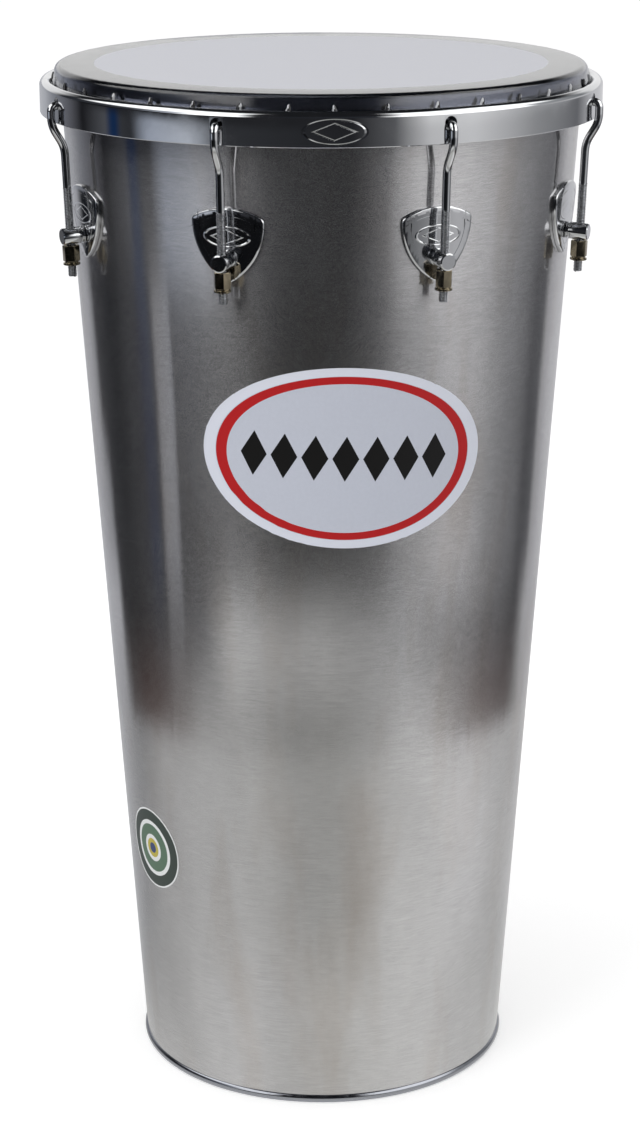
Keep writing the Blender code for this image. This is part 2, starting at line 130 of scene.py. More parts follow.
def mottled_finish(name, inputs, scale, detail, gloss, tones=None, shown=(0, 1),
                   stretch=(1, 1, 1), relief=0):
    """A finish whose roughness, colour and relief follow one grain.

    Roughness goes from one value of gloss to the other over the shown part of the grain.
    """
    finish, tree, shader = new_finish(name, inputs)
    patches = grain(tree, scale, detail, stretch=stretch)
    rough = add_node(tree, "MapRange", {
        "Value": patches, "From Min": shown[0], "From Max": shown[1],
        "To Min": gloss[0], "To Max": gloss[1]})
    set_inputs(tree, shader, {"Roughness": rough})
    if tones:
        tint = add_node(tree, "Mix", {
            0: patches, 6: linear(tones[0]), 7: linear(tones[1])}, data_type="RGBA")
        set_inputs(tree, shader, {"Base Color": tint.outputs[2]})
    if relief:
        bump = add_node(tree, "Bump", {"Strength": relief, "Distance": 0.0001, "Height": patches})
        set_inputs(tree, shader, {"Normal": bump})
    print(name)
    return finish


print("white is", linear("#ffffff"))

# %% [markdown]
# ## Helpers for modelling
# Almost every piece of a drum is turned: a section spun once round an axis. So a section is
# drawn first, as by hand: one vertex is extruded from point to point. Spin then sweeps it
# round, and the doubled points on the seam and on the axis are merged.

# %% Helpers for modelling
SAME_PLACE = 1e-6               # points nearer to each other than this are one point


def choose(kind, rule):
    """In edit mode, select the vertices, edges or faces that keep to a rule."""
    bpy.ops.mesh.select_mode(type=kind)
    bpy.ops.mesh.select_all(action="DESELECT")
    mesh = bpy.context.object.data
    bm = bmesh.from_edit_mesh(mesh)
    for part in {"VERT": bm.verts, "EDGE": bm.edges, "FACE": bm.faces}[kind]:
        if rule(part):
            part.select = True
    bm.select_flush_mode()
    bmesh.update_edit_mesh(mesh)


def start_point(name, place):
    """A new piece that is a single selected vertex, in edit mode."""
    if bpy.context.object and bpy.context.object.mode != "OBJECT":
        bpy.ops.object.mode_set(mode="OBJECT")
    bpy.ops.object.select_all(action="DESELECT")
    bpy.ops.mesh.primitive_plane_add(size=0.001)
    bpy.context.object.name = name
    bpy.ops.object.mode_set(mode="EDIT")
    bpy.ops.mesh.select_mode(type="VERT")
    bpy.ops.mesh.merge(type="CENTER")
    bpy.ops.transform.translate(value=place)
    return bpy.context.object


def draw_section(name, points):
    """Draw a section in the XZ plane, vertex by vertex, from (x, z) points."""
    piece = start_point(name, (points[0][0], 0, points[0][1]))
    for before, after in zip(points, points[1:]):
        step = (after[0] - before[0], 0, after[1] - before[1])
        bpy.ops.mesh.extrude_vertices_move(TRANSFORM_OT_translate={"value": step})
    return piece


def spin_round(sides, ring):
    """Spin the drawn section once round Z. A ring's section is closed first."""
    if ring:
        choose("VERT", lambda vert: len(vert.link_edges) == 1)
        bpy.ops.mesh.edge_face_add()
    bpy.ops.mesh.select_all(action="SELECT")
    bpy.ops.mesh.spin(steps=sides, angle=math.tau, center=(0, 0, 0), axis=(0, 0, 1))
    clean_up()


def slice_across(place, axis, **kept):
    """Slice all of the edited mesh by a plane."""
    bpy.ops.mesh.select_all(action="SELECT")
    bpy.ops.mesh.bisect(plane_co=place, plane_no=axis, **kept)


def clean_up(smooth=30):
    """Merge doubles, turn the faces outwards, leave edit mode and smooth the shading."""
    bpy.ops.mesh.select_all(action="SELECT")
    bpy.ops.mesh.remove_doubles(threshold=SAME_PLACE)
    bpy.ops.mesh.normals_make_consistent(inside=False)
    bpy.ops.object.mode_set(mode="OBJECT")
    bpy.ops.object.shade_smooth_by_angle(angle=math.radians(smooth))


def bend_points(centre, radius, start, end, steps):
    """Points of an arc in a section; the angles are in degrees, and both ends count."""
    angles = [math.radians(start + (end - start) * i / steps) for i in range(steps + 1)]
    return [(centre[0] + radius * math.cos(a), centre[1] + radius * math.sin(a))
            for a in angles]


def settle(piece, place, turn=0.0):
    """Move a piece from the origin to its place, tip it about X, and apply both."""
    piece.location = place
    piece.rotation_euler = (turn, 0, 0)
    bpy.ops.object.transform_apply(location=True, rotation=True, scale=True)


def add_modifier(piece, kind, **settings):
    """Add a modifier and apply it."""
    modifier = piece.modifiers.new(kind.lower(), kind)
    for name, value in settings.items():
        setattr(modifier, name, value)
    bpy.context.view_layer.objects.active = piece
    bpy.ops.object.modifier_apply(modifier=modifier.name)


def cut_with(piece, tool, operation="DIFFERENCE"):
    """Cut a piece with a tool, or keep what both share; the tool goes."""
    add_modifier(piece, "BOOLEAN", operation=operation, solver="EXACT", object=tool)
    bpy.data.objects.remove(tool)


def join_pieces(piece, others):
    """Join other pieces to one piece, whose own faces stay the first."""
    bpy.ops.object.select_all(action="DESELECT")
    for part in [piece, *others]:
        part.select_set(True)
    bpy.context.view_layer.objects.active = piece
    bpy.ops.object.join()


def copy_of(pattern, name):
    """A copy of a piece, with its own mesh."""
    copy = bpy.data.objects.new(name, pattern.data.copy())
    bpy.context.scene.collection.objects.link(copy)
    return copy


def finish_piece(piece, body, node, slot, *finishes):
    """Give a piece its finishes, and say what it rides on and which node it stands for."""
    if finishes:
        piece.data.materials.clear()
        for finish in finishes:
            piece.data.materials.append(finish)
    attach(piece, body)
    if node:
        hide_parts(node)


def face_count(piece):
    return f"{piece.name}: {len(piece.data.polygons)} faces"


print("helpers ready")

# %% [markdown]
# ## Stage
# The floor is pale and plain. The camera sees it as white, and it keeps the drum's soft
# contact shadow. Bright metal has no look of its own: it shows the room, so the room
# matters more than the metal. The studio in the photograph had dark and light flats
# standing round, and a dark floor beyond the white paper. Flats that only reflections can
# see bring that back, and change neither the light nor the background.

# %% Floor and world
ROOM_LIGHT = 0.80               # strength of the room on surfaces that scatter light
FLOOR_GLOW = 0.35               # lifts the paper to white where it is seen


def any_ray(tree, *kinds):
    """1 for a ray of one of these kinds, and 0 for any other."""
    rays = add_node(tree, "LightPath")
    share = rays.outputs[f"Is {kinds[0]} Ray"]
    for kind in kinds[1:]:
        share = add_node(tree, "Math", {
            0: share, 1: rays.outputs[f"Is {kind} Ray"]}, operation="MAXIMUM")
    return share


bpy.ops.object.select_all(action="DESELECT")
bpy.ops.mesh.primitive_circle_add(vertices=96, radius=15, fill_type="NGON")
floor = bpy.context.object
floor.name = "floor"
paper, tree, shader = new_finish("white paper floor", {
    "Base Color": linear("#e9e9e9"), "Roughness": 0.9, "Emission Color": linear("#ffffff")})
glow = add_node(tree, "Math", {
    0: any_ray(tree, "Camera", "Glossy"), 1: FLOOR_GLOW}, operation="MULTIPLY")
set_inputs(tree, shader, {"Emission Strength": glow})
floor.data.materials.append(paper)

world = bpy.data.worlds.new("studio")
world.use_nodes = True
bpy.context.scene.world = world
tree = world.node_tree
strength = add_node(tree, "MapRange", {
    "Value": any_ray(tree, "Camera", "Glossy", "Transmission"),
    "To Min": ROOM_LIGHT, "To Max": 1.0})
set_inputs(tree, tree.nodes["Background"], {"Color": (1, 1, 1, 1), "Strength": strength})
print("floor and world ready")

# %% Lamps
LAMPS = [                       # name, place, size, power
    ("softbox over the head", (-0.5, -0.3, 2.4), 1.4, 8),
    ("softbox left of the camera", (-1.8, -2.0, 1.9), 1.2, 14),
]
LAMP_AIM = Vector((0, 0, 0.4))
for name, place, size, power in LAMPS:
    bpy.ops.object.light_add(type="AREA", location=place)
    lamp = bpy.context.object
    lamp.name = name
    lamp.data.size = size
    lamp.data.energy = power
    lamp.visible_glossy = False     # the softboxes of the dome are seen instead
    lamp.rotation_euler = (Vector(place) - LAMP_AIM).to_track_quat("Z", "Y").to_euler()
print(len(LAMPS), "lamps")

# %% Tones of the surroundings
# Tones run round the drum: 0 degrees is the camera's side, and positive is to its right.
WALL_TONES = [                  # dark flat, pale panel, the dark behind the camera, white flat
    (-146, "#bdbfc5"), (-132, "#8e9199"), (-118, "#6a6b72"), (-108, "#1c1d20"), (-93, "#5a5c61"),
    (-89.5, "#1b3358"), (-87, "#1b3358"), (-84, "#404246"), (-78, "#34363a"), (-70, "#b9c1d0"),
    (-52, "#d2d8e2"), (-38, "#3c3e42"), (12, "#2a2b2e"), (28, "#68696c"), (42, "#e0e0e1"),
    (60, "#eeeeef"), (92, "#a6a7a9"), (122, "#77787c"), (140, "#dadadd")]
WALL_UPPER = [                  # above the left panel the room is dark
    (-146, "#bdbfc5"), (-132, "#8e9199"), (-108, "#1c1d20"), (-38, "#2a2b2e"), (12, "#2a2b2e"),
    (28, "#68696c"), (42, "#f4f4f4"), (60, "#ffffff"), (92, "#c0c1c3"), (140, "#dadadd")]
PAPER_INNER = [                 # the white paper that the drum stands on
    (-140, "#c9cacd"), (-112, "#c0c1c2"), (-92, "#d0d0cf"), (-60, "#eaeae8"), (-30, "#f4f4f2"),
    (5, "#f4f4f0"), (55, "#f0f0ee"), (80, "#e8e8e6"), (112, "#d8d8d7"), (140, "#d8d8d9")]
PAPER = [
    (-140, "#c9cacd"), (-112, "#bcbdbe"), (-92, "#dadad9"), (-60, "#dadad8"), (-30, "#dadad7"),
    (5, "#cececa"), (55, "#f4f4f2"), (80, "#ffffff"), (112, "#ececeb"), (140, "#d8d8d9")]
PAPER_EDGE = [                  # where the paper ends on brown boards, nearer at the sides
    (-140, "#c4c5c9"), (-128, "#c4c5c9"), (-117, "#5c5350"), (-104, "#4c2a1c"), (-90, "#4e2e20"),
    (-74, "#8c837e"), (-62, "#c6c5c2"), (-34, "#a4a4a1"), (5, "#a0a09c"), (46, "#d4d4d3"),
    (62, "#b8b4b0"), (76, "#6a5a52"), (94, "#4c2a1c"), (112, "#4a3028"), (122, "#9a9896"),
    (130, "#cacacb"), (140, "#d2d2d5")]
FLOOR_NEAR = [
    (-143, "#d0d1d6"), (-129, "#dedfe4"), (-123, "#181a1d"), (-83.5, "#1a1c1f"), (-80.5, "#66676a"),
    (-73.5, "#626366"), (-71, "#3c3b3d"), (-60, "#4c4b4d"), (-50, "#c0c0be"), (-44, "#f0f0ee"),
    (0, "#f6f6f4"), (22, "#cececd"), (40, "#a0a1a2"), (62, "#464749"), (95, "#3a3b3f"),
    (117, "#1a1b1e"), (128, "#c8c8ca"), (143, "#d0d0d4")]
FLOOR_FAR = [
    (-145, "#c4c5ca"), (-137, "#b0b1b6"), (-131, "#1c1e22"), (-112, "#202226"), (-100, "#36383c"),
    (-94, "#2a2c30"), (-91.5, "#1b2c4c"), (-86.5, "#1b2c4c"), (-84, "#2a2c30"), (-81, "#a6a6a9"),
    (-73.5, "#a4a6ac"), (-71.5, "#202226"), (-62, "#1c1e22"), (-54, "#141517"), (-16, "#141517"),
    (10, "#242629"), (28, "#2c2d30"), (46, "#9c9d9f"), (60, "#d0d0d2"), (74, "#bcbcbe"),
    (86, "#98999b"), (98, "#8c8d90"), (108, "#78797c"), (117, "#3c3d42"), (125, "#484a4e"),
    (131, "#c0c0c3"), (142, "#d6d6da")]
# Nearer in, the pale floor behind the drum reaches further round its left side.
FLOOR_MIDDLE = [(-145, "#c4c5ca"), (-131, "#b0b1b6"), (-125, "#1c1e22")] + FLOOR_FAR[3:]
CEILING = "#141517"
DOME_LOW = [
    (-140, "#b4b4b4"), (-126, "#202226"), (-78, "#2c2e32"), (-60, "#8c9098"), (-50, "#ffffff"),
    (-33, "#ffffff"), (-26, "#1a1b1e"), (22, "#202226"), (32, "#ffffff"), (86, "#ffffff"),
    (94, "#808284"), (128, "#606264"), (140, "#b4b4b4")]
DOME_HIGH = [                   # two softboxes, high on either side of the camera
    (-122, CEILING), (-114, "#ffffff"), (-38, "#ffffff"), (-30, CEILING), (30, CEILING),
    (38, "#ffffff"), (108, "#ffffff"), (116, CEILING)]
DOME_TOP = [(-180, CEILING), (180, CEILING)]
print(len(FLOOR_FAR), "tones round the far floor")

# %% Surroundings that only reflections see
WALL_DISTANCE = 2.4
WALL_HEIGHT = 0.85
GROUND_HEIGHT = 0.002           # just above the floor
DOME_GLOW = 2.2                 # the softboxes are twice as bright as the paper
DOME_THROUGH_FILM = 0.1         # the clear film shows little of the dome
CAMERA_SIDE = math.atan2(CAMERA_PLACE[1], CAMERA_PLACE[0])
WALL_BANDS = [                  # height above the floor, tones
    (0.19, FLOOR_FAR), (0.29, WALL_TONES), (0.465, WALL_TONES), (0.525, WALL_UPPER)]
FLOOR_RINGS = [                 # distance from the drum's axis, tones
    (0.25, PAPER_INNER), (0.40, PAPER), (0.73, PAPER), (0.78, PAPER_EDGE), (1.10, FLOOR_NEAR),
    (1.40, FLOOR_MIDDLE), (1.60, FLOOR_MIDDLE), (2.10, FLOOR_FAR)]
DOME_BANDS = [                  # height above the wall, tones
    (0.7, DOME_LOW), (1.1, DOME_HIGH), (1.9, DOME_HIGH), (2.1, DOME_TOP)]


def add_tones(tree, tones):
    """Colour by the angle round the drum, from (degrees, hex) pairs."""
    place = add_node(tree, "TexCoord").outputs["Object"]
    turned = add_node(tree, "Mapping", {"Vector": place, "Rotation": (0, 0, -CAMERA_SIDE)})
    angle = add_node(tree, "TexGradient", {0: turned}, gradient_type="RADIAL").outputs["Fac"]
    ramp = add_node(tree, "ValToRGB", {0: angle})
    stops = ramp.color_ramp.elements
    for stop, (degrees, tone) in zip((stops[0], stops[-1]), (tones[0], tones[-1])):
        stop.position = 0.5 + degrees / 360
        stop.color = linear(tone)
    for degrees, tone in tones[1:-1]:
        stops.new(0.5 + degrees / 360).color = linear(tone)
    return ramp.outputs[0]


def blend_bands(tree, distance, bands):
    """Blend bands or rings of tones, from (distance, tones) pairs."""
    tone = add_tones(tree, bands[0][1])
    for (nearer, _), (further, tones) in zip(bands, bands[1:]):
        share = add_node(tree, "MapRange", {
            "Value": distance, "From Min": nearer, "From Max": further})
        tone = add_node(tree, "Mix", {
            0: share, 6: tone, 7: add_tones(tree, tones)}, data_type="RGBA").outputs[2]
    return tone


def only_reflections(surround, name, strength, through_film=1.0):
    """A glowing finish for something that only reflections and clear film show."""
    surround.name = name
    surround.visible_camera = False
    surround.visible_diffuse = False
    surround.visible_shadow = False
    finish, tree, shader = new_finish(name.replace("_", " ") + " tones", {
        "Base Color": (0, 0, 0, 1), "Roughness": 1.0, "Specular IOR Level": 0.0})
    glow = add_node(tree, "MapRange", {
        "Value": any_ray(tree, "Transmission"), "To Min": strength,
        "To Max": strength * through_film})
    set_inputs(tree, shader, {"Emission Strength": glow})
    surround.data.materials.append(finish)
    return tree, shader


bpy.ops.object.select_all(action="DESELECT")
bpy.ops.mesh.primitive_cylinder_add(vertices=128, radius=WALL_DISTANCE, depth=WALL_HEIGHT,
                                    end_fill_type="NOTHING", location=(0, 0, WALL_HEIGHT / 2))
tree, shader = only_reflections(bpy.context.object, "studio_wall", 1.0)
height = add_node(tree, "SeparateXYZ", {0: add_node(tree, "TexCoord").outputs["Object"]})
set_inputs(tree, shader, {"Emission Color": blend_bands(tree, height.outputs["Z"], [
    (height_above - WALL_HEIGHT / 2, tones) for height_above, tones in WALL_BANDS])})

bpy.ops.mesh.primitive_circle_add(vertices=128, radius=WALL_DISTANCE, fill_type="NGON",
                                  location=(0, 0, GROUND_HEIGHT))
tree, shader = only_reflections(bpy.context.object, "studio_ground", 1.0)
reach = add_node(tree, "VectorMath", {
    0: add_node(tree, "TexCoord").outputs["Object"]}, operation="LENGTH")
# The floor beyond the paper is mottled, so the rings run into each other in patches.
spread = add_node(tree, "MapRange", {
    "Value": grain(tree, 30, 4, 0.7), "From Min": 0.25, "From Max": 0.75,
    "To Min": -0.04, "To Max": 0.04})
ragged = add_node(tree, "Math", {0: reach.outputs["Value"], 1: spread}, operation="ADD")
set_inputs(tree, shader, {"Emission Color": blend_bands(tree, ragged, FLOOR_RINGS)})

bpy.ops.mesh.primitive_uv_sphere_add(segments=96, ring_count=48, radius=WALL_DISTANCE,
                                     location=(0, 0, WALL_HEIGHT))
dome = bpy.context.object
bpy.ops.object.mode_set(mode="EDIT")
slice_across((0, 0, WALL_HEIGHT), (0, 0, 1), clear_inner=True)
bpy.ops.object.mode_set(mode="OBJECT")
tree, shader = only_reflections(dome, "studio_dome", DOME_GLOW, DOME_THROUGH_FILM)
height = add_node(tree, "SeparateXYZ", {0: add_node(tree, "TexCoord").outputs["Object"]})
set_inputs(tree, shader, {
    "Emission Color": blend_bands(tree, height.outputs["Z"], DOME_BANDS)})
print("surroundings: wall, ground and dome")

# %% [markdown]
# ## Shell
# The shell is thin aluminium sheet, rolled to a cone and brushed round and round. The foot
# is rolled to a bead, and the top edge is folded inwards to a smooth round hem, which
# carries the head. Brushing leaves fine grooves that run round the drum: along a groove the
# metal mirrors sharply, and across it the reflection smears, so it smears up and down.

# %% Brushed aluminium
brushed, tree, shader = new_finish("brushed aluminium sheet", {
    "Metallic": 1.0, "Anisotropic": 0.9, "Anisotropic Rotation": 0.25})
# Grooves of a brush, 0.05 mm apart, too fine to be told apart. Most are smooth enough to
# mirror, and the few rough ones smear light far up and down, which lifts dark reflections.
grooves = grain(tree, 1, 0, stretch=(4000, 4000, 20000))
# Coarser scratches of the same brush, 0.5 mm apart, so that the grain just shows from afar.
scratches = grain(tree, 1, 2, 0.6, stretch=(90, 90, 1800))
# Handling leaves broad cloudy smudges, 60 mm across and taller than wide.
smudges = grain(tree, 1, 3, stretch=(18, 18, 6))
cloudy = add_node(tree, "MapRange", {
    "Value": smudges, "From Min": 0.3, "From Max": 0.7, "To Min": 0.0, "To Max": 0.6})
streaky = add_node(tree, "MapRange", {
    "Value": scratches, "From Min": 0.3, "From Max": 0.7, "To Min": -0.2, "To Max": 0.5})
shade = add_node(tree, "Math", {0: cloudy, 1: streaky}, operation="ADD")
tint = add_node(tree, "Mix", {
    0: shade, 6: linear("#b4b3b4"), 7: linear("#cecdce")}, data_type="RGBA")
# Old polish leaves brownish stains that run down the sheet.
stains = grain(tree, 1, 5, 0.55, stretch=(26, 26, 5), shift=(3, 1, 2))
stained = add_node(tree, "MapRange", {
    "Value": stains, "From Min": 0.50, "From Max": 0.75, "To Min": 0.0, "To Max": 0.5})
tint = add_node(tree, "Mix", {
    0: stained, 6: tint.outputs[2], 7: linear("#a99f97")}, data_type="RGBA")
rough = add_node(tree, "MapRange", {
    "Value": grooves, "From Min": 0.55, "From Max": 0.58, "To Min": 0.09, "To Max": 0.52})
bump = add_node(tree, "Bump", {"Strength": 0.008, "Distance": 0.0001, "Height": scratches})
tangent = add_node(tree, "Tangent", direction_type="RADIAL", axis="Z")
set_inputs(tree, shader, {
    "Base Color": tint.outputs[2], "Roughness": rough, "Normal": bump, "Tangent": tangent})
print(brushed.name)

# %% Polished, worn and plain aluminium
# Polishing leaves a mirror with a faint haze. Its grey is darker than bare aluminium, as painted
# shade for the shaded paper that the foot bead mirrors.
polished = mottled_finish(
    "polished aluminium edge", {"Base Color": linear("#93959b"), "Metallic": 1.0},
    scale=220, detail=3, shown=(0.35, 0.7), gloss=(0.10, 0.22))
# The hem under the film is the sheet's bare folded edge, painted dark grey as painted shade for the
# dark gap behind the clear film.
shaded_hem = mottled_finish(
    "aluminium hem with painted shade", {"Metallic": 1.0}, scale=90, detail=4,
    tones=("#3a3b3e", "#55565a"), shown=(0.3, 0.7), gloss=(0.30, 0.50))
# Rolling at the mill leaves dull bands that run round the inside.
plain = mottled_finish(
    "plain aluminium inside", {"Metallic": 1.0}, scale=1, detail=4, stretch=(30, 30, 400),
    tones=("#8f9092", "#a5a6a8"), shown=(0.3, 0.7), gloss=(0.38, 0.52))

# %% Shell
SHELL_HEIGHT = 0.7033
SHELL_TOP_RADIUS = 0.1750
SHELL_FOOT_RADIUS = 0.1287
SHELL_WALL = 0.0015
SHELL_SLOPE = (SHELL_TOP_RADIUS - SHELL_FOOT_RADIUS) / SHELL_HEIGHT
SHELL_TILT = math.atan(SHELL_SLOPE)
HEM_RADIUS = 0.0020
HEM_DEPTH = 0.0065
HEM_STEP = 0.0003               # from the hem's cut edge to the wall
BEAD_RADIUS = 0.0030
BEAD_PROUD = 0.0020
FOOT_FLAT = 0.0004              # the bead stands on a narrow flat
ROUND_SIDES = 256


def shell_radius(z):
    return SHELL_FOOT_RADIUS + SHELL_SLOPE * z


hem = (SHELL_TOP_RADIUS - HEM_RADIUS, SHELL_HEIGHT - HEM_RADIUS)
hem_foot = hem[1] - HEM_DEPTH
bead = (SHELL_FOOT_RADIUS + BEAD_PROUD - BEAD_RADIUS, BEAD_RADIUS - FOOT_FLAT)
bead_top = 2 * BEAD_RADIUS - FOOT_FLAT
flat = math.degrees(math.asin(bead[1] / BEAD_RADIUS))
section = bend_points(hem, HEM_RADIUS, 0, 180, 10)
section += [(hem[0] - HEM_RADIUS, hem_foot),
            (shell_radius(hem_foot) - SHELL_WALL, hem_foot - HEM_STEP),
            (shell_radius(bead_top) - SHELL_WALL, bead_top)]
section += bend_points(bead, BEAD_RADIUS, 150, 180 + flat, 8)
section += bend_points(bead, BEAD_RADIUS, 360 - flat, 430, 12)
section += [(shell_radius(bead_top), bead_top)]
shell = draw_section("shell_wall", section)
spin_round(ROUND_SIDES, ring=True)
finish_piece(shell, "drum_shell", "shell", "aluminium_shell", brushed, polished, plain, shaded_hem)
for face in shell.data.polygons:
    inwards = face.normal.x * face.center.x + face.normal.y * face.center.y < 0
    if face.center.z > hem[1]:
        face.material_index = 3
    elif face.center.z < bead_top:
        face.material_index = 1
    elif inwards:
        face.material_index = 2
print(face_count(shell))

# %% [markdown]
# ## Head
# The head is polyester film. Its middle is coated white and dull, and a ring of clear film
# is left round the coating. The film is drawn down over the shell's hem to a low collar,
# which is pressed into an aluminium channel, the flesh hoop. Drawing flat film into a
# collar gathers it into small pleats along the channel.

# %% Head film finishes
POLYESTER_IOR = 1.58

# A sprayed coat has a grain of about 0.3 mm; here it is 1 mm.
coated = mottled_finish(
    "white coated film", {"IOR": POLYESTER_IOR, "Specular IOR Level": 0.5}, scale=900, detail=2,
    tones=("#c0c1c8", "#cacbd2"), gloss=(0.45, 0.6), relief=0.15)
# Bare film is clear and smooth, with a slight haze from handling.
clear = mottled_finish(
    "clear polyester film", {
        "Base Color": linear("#c8ccd8"), "IOR": POLYESTER_IOR, "Transmission Weight": 1.0},
    scale=60, detail=3, shown=(0.35, 0.7), gloss=(0.04, 0.12))
# A sharp crease turns the clear film milky, and the fold beside it is in shade.
hollow = mottled_finish(
    "shaded fold of film", {"IOR": POLYESTER_IOR}, scale=500, detail=2,
    tones=("#0b0b0d", "#26272b"), gloss=(0.15, 0.35))
creased = mottled_finish(
    "creased polyester film", {"IOR": POLYESTER_IOR, "Transmission Weight": 0.2}, scale=500,
    detail=2, tones=("#b4b6bb", "#f2f3f6"), shown=(0.35, 0.7), gloss=(0.12, 0.30))

# %% Head film
HEAD_TOP = 0.7040
FILM = 0.0004
FILM_RADIUS = 0.1778
SHOULDER = 0.0044
COLLAR_FLARE = 0.0014
CHANNEL_TOP = 0.6913
FILM_FOOT = CHANNEL_TOP - 0.0057    # the collar's edge, deep in the channel
COATING_RADIUS = 0.1513

shoulder = (FILM_RADIUS - SHOULDER, HEAD_TOP - SHOULDER)
flared = FILM_RADIUS + COLLAR_FLARE
section = [(0, HEAD_TOP), (COATING_RADIUS, HEAD_TOP)]
section += bend_points(shoulder, SHOULDER, 90, 0, 12)
section += [(flared, CHANNEL_TOP), (flared, FILM_FOOT), (flared - FILM, FILM_FOOT),
            (flared - FILM, CHANNEL_TOP)]
section += bend_points(shoulder, SHOULDER - FILM, 0, 90, 8)
section += [(COATING_RADIUS, HEAD_TOP - FILM), (0, HEAD_TOP - FILM)]
head = draw_section("head_skin", section)
spin_round(ROUND_SIDES, ring=False)
skin_faces = len(head.data.polygons)
print(face_count(head))

# %% Pleats of the collar
PLEATS = 36
PLEAT_SIZE = (0.0018, 0.0014, 0.0040)       # half of its width, depth and height
PLEAT_PROUD = 0.0010            # how far its middle stands out of the film
PLEAT_RISE = 0.0028             # its middle's height above the channel
PLEAT_SHIFT = 0.0006            # how much that height differs from pleat to pleat
PLEAT_SWAY = 0.12               # how far it may stray to the side, as a share of the spacing
PLEAT_LEAN = 0.3                # radians
SHADE_EDGE = -0.0001            # right of this line the fold is in shade

bpy.ops.object.select_all(action="DESELECT")
bpy.ops.mesh.primitive_uv_sphere_add(segments=12, ring_count=8, radius=1)
pleat = bpy.context.object
bpy.ops.object.mode_set(mode="EDIT")
choose("VERT", lambda vert: vert.co.z > 0.3)
bpy.ops.transform.resize(value=(0.8, 0.9, 1), center_override=(0, 0, 1))
choose("VERT", lambda vert: abs(vert.co.z) < 0.5)
bpy.ops.transform.translate(value=(0.2, 0, 0))
bpy.ops.object.mode_set(mode="OBJECT")
pleat.scale = PLEAT_SIZE
bpy.ops.object.transform_apply(scale=True)
bpy.ops.object.shade_smooth()
in_shade = [face.center.x > SHADE_EDGE for face in pleat.data.polygons]
pleats = []
for number in range(PLEATS):
    jitter = math.sin(number * 12.9898)         # no two pleats sit quite alike
    angle = math.tau * (number + PLEAT_SWAY * jitter) / PLEATS
    lean = PLEAT_LEAN * jitter + (math.pi if number % 3 == 1 else 0)
    copy = copy_of(pleat, "pleat")
    copy.data.transform(Matrix.Rotation(angle, 4, "Z") @ Matrix.Translation((
        0, -(FILM_RADIUS + PLEAT_PROUD), CHANNEL_TOP + PLEAT_RISE + PLEAT_SHIFT * jitter))
        @ Matrix.Rotation(lean, 4, "Y"))
    pleats.append(copy)
bpy.data.objects.remove(pleat)
join_pieces(head, pleats)
finish_piece(head, "rim", "head_film", "head_film", coated, clear, creased, hollow)
for number, face in enumerate(head.data.polygons):
    if number >= skin_faces:
        face.material_index = 2 + in_shade[(number - skin_faces) % len(in_shade)]
    elif Vector(face.center[:2]).length > COATING_RADIUS:
        face.material_index = 1
print(PLEATS, "pleats;", face_count(head))

# %% Flesh hoop
CHANNEL_WIDTH = 0.0056
CHANNEL_HEIGHT = 0.0080
CHANNEL_EDGE = 0.0009           # radius of its rounded edges
SLOT_WIDTH = 0.0012
SLOT_DEPTH = 0.0060

channel_middle = flared - FILM / 2
channel_outer = channel_middle + CHANNEL_WIDTH / 2
edge_outer = channel_outer - CHANNEL_EDGE
edge_inner = channel_middle - CHANNEL_WIDTH / 2 + CHANNEL_EDGE
edge_low = CHANNEL_TOP - CHANNEL_HEIGHT + CHANNEL_EDGE
edge_high = CHANNEL_TOP - CHANNEL_EDGE
section = bend_points((edge_outer, edge_low), CHANNEL_EDGE, -90, 0, 4)
section += bend_points((edge_outer, edge_high), CHANNEL_EDGE, 0, 90, 4)
section += [(channel_middle + SLOT_WIDTH / 2, CHANNEL_TOP),
            (channel_middle + SLOT_WIDTH / 2, CHANNEL_TOP - SLOT_DEPTH),
            (channel_middle - SLOT_WIDTH / 2, CHANNEL_TOP - SLOT_DEPTH),
            (channel_middle - SLOT_WIDTH / 2, CHANNEL_TOP)]
section += bend_points((edge_inner, edge_high), CHANNEL_EDGE, 90, 180, 4)
section += bend_points((edge_inner, edge_low), CHANNEL_EDGE, 180, 270, 4)
channel = draw_section("flesh_channel", section)
spin_round(ROUND_SIDES, ring=True)
finish_piece(channel, "rim", "flesh_hoop", "flesh_hoop", polished)
print(face_count(channel))

# %% [markdown]
# ## Counterhoop
# The hoop that pulls the head down is a steel band with its top edge rolled in, plated with
# chrome. Chrome is a near-perfect mirror, cooler than nickel, and only fingerprints and fine
# swirls from polishing dull it. The rods hook into eight plain holes in the band.

# %% Chrome
OVAL_LINE = 0.9                 # where the oval is engraved, as a share of the badge's half
LOZENGE_LINE = 0.62             # where the lozenge is
LINE_WIDTH = 0.06
LINE_DEPTH = 0.0002


def chrome_plate(name):
    """Chrome with fingerprints and the faint waves that polishing leaves."""
    finish, tree, shader = new_finish(name, {
        "Base Color": linear("#c9cacc"), "Metallic": 1.0})
    rough = add_node(tree, "MapRange", {
        "Value": grain(tree, 45, 4, 0.6), "From Min": 0.4, "From Max": 0.75,
        "To Min": 0.05, "To Max": 0.16})
    waves = add_node(tree, "Bump", {
        "Strength": 0.05, "Distance": 0.0002, "Height": grain(tree, 90, 1)})
    set_inputs(tree, shader, {"Roughness": rough, "Normal": waves})
    return finish, tree, shader, waves


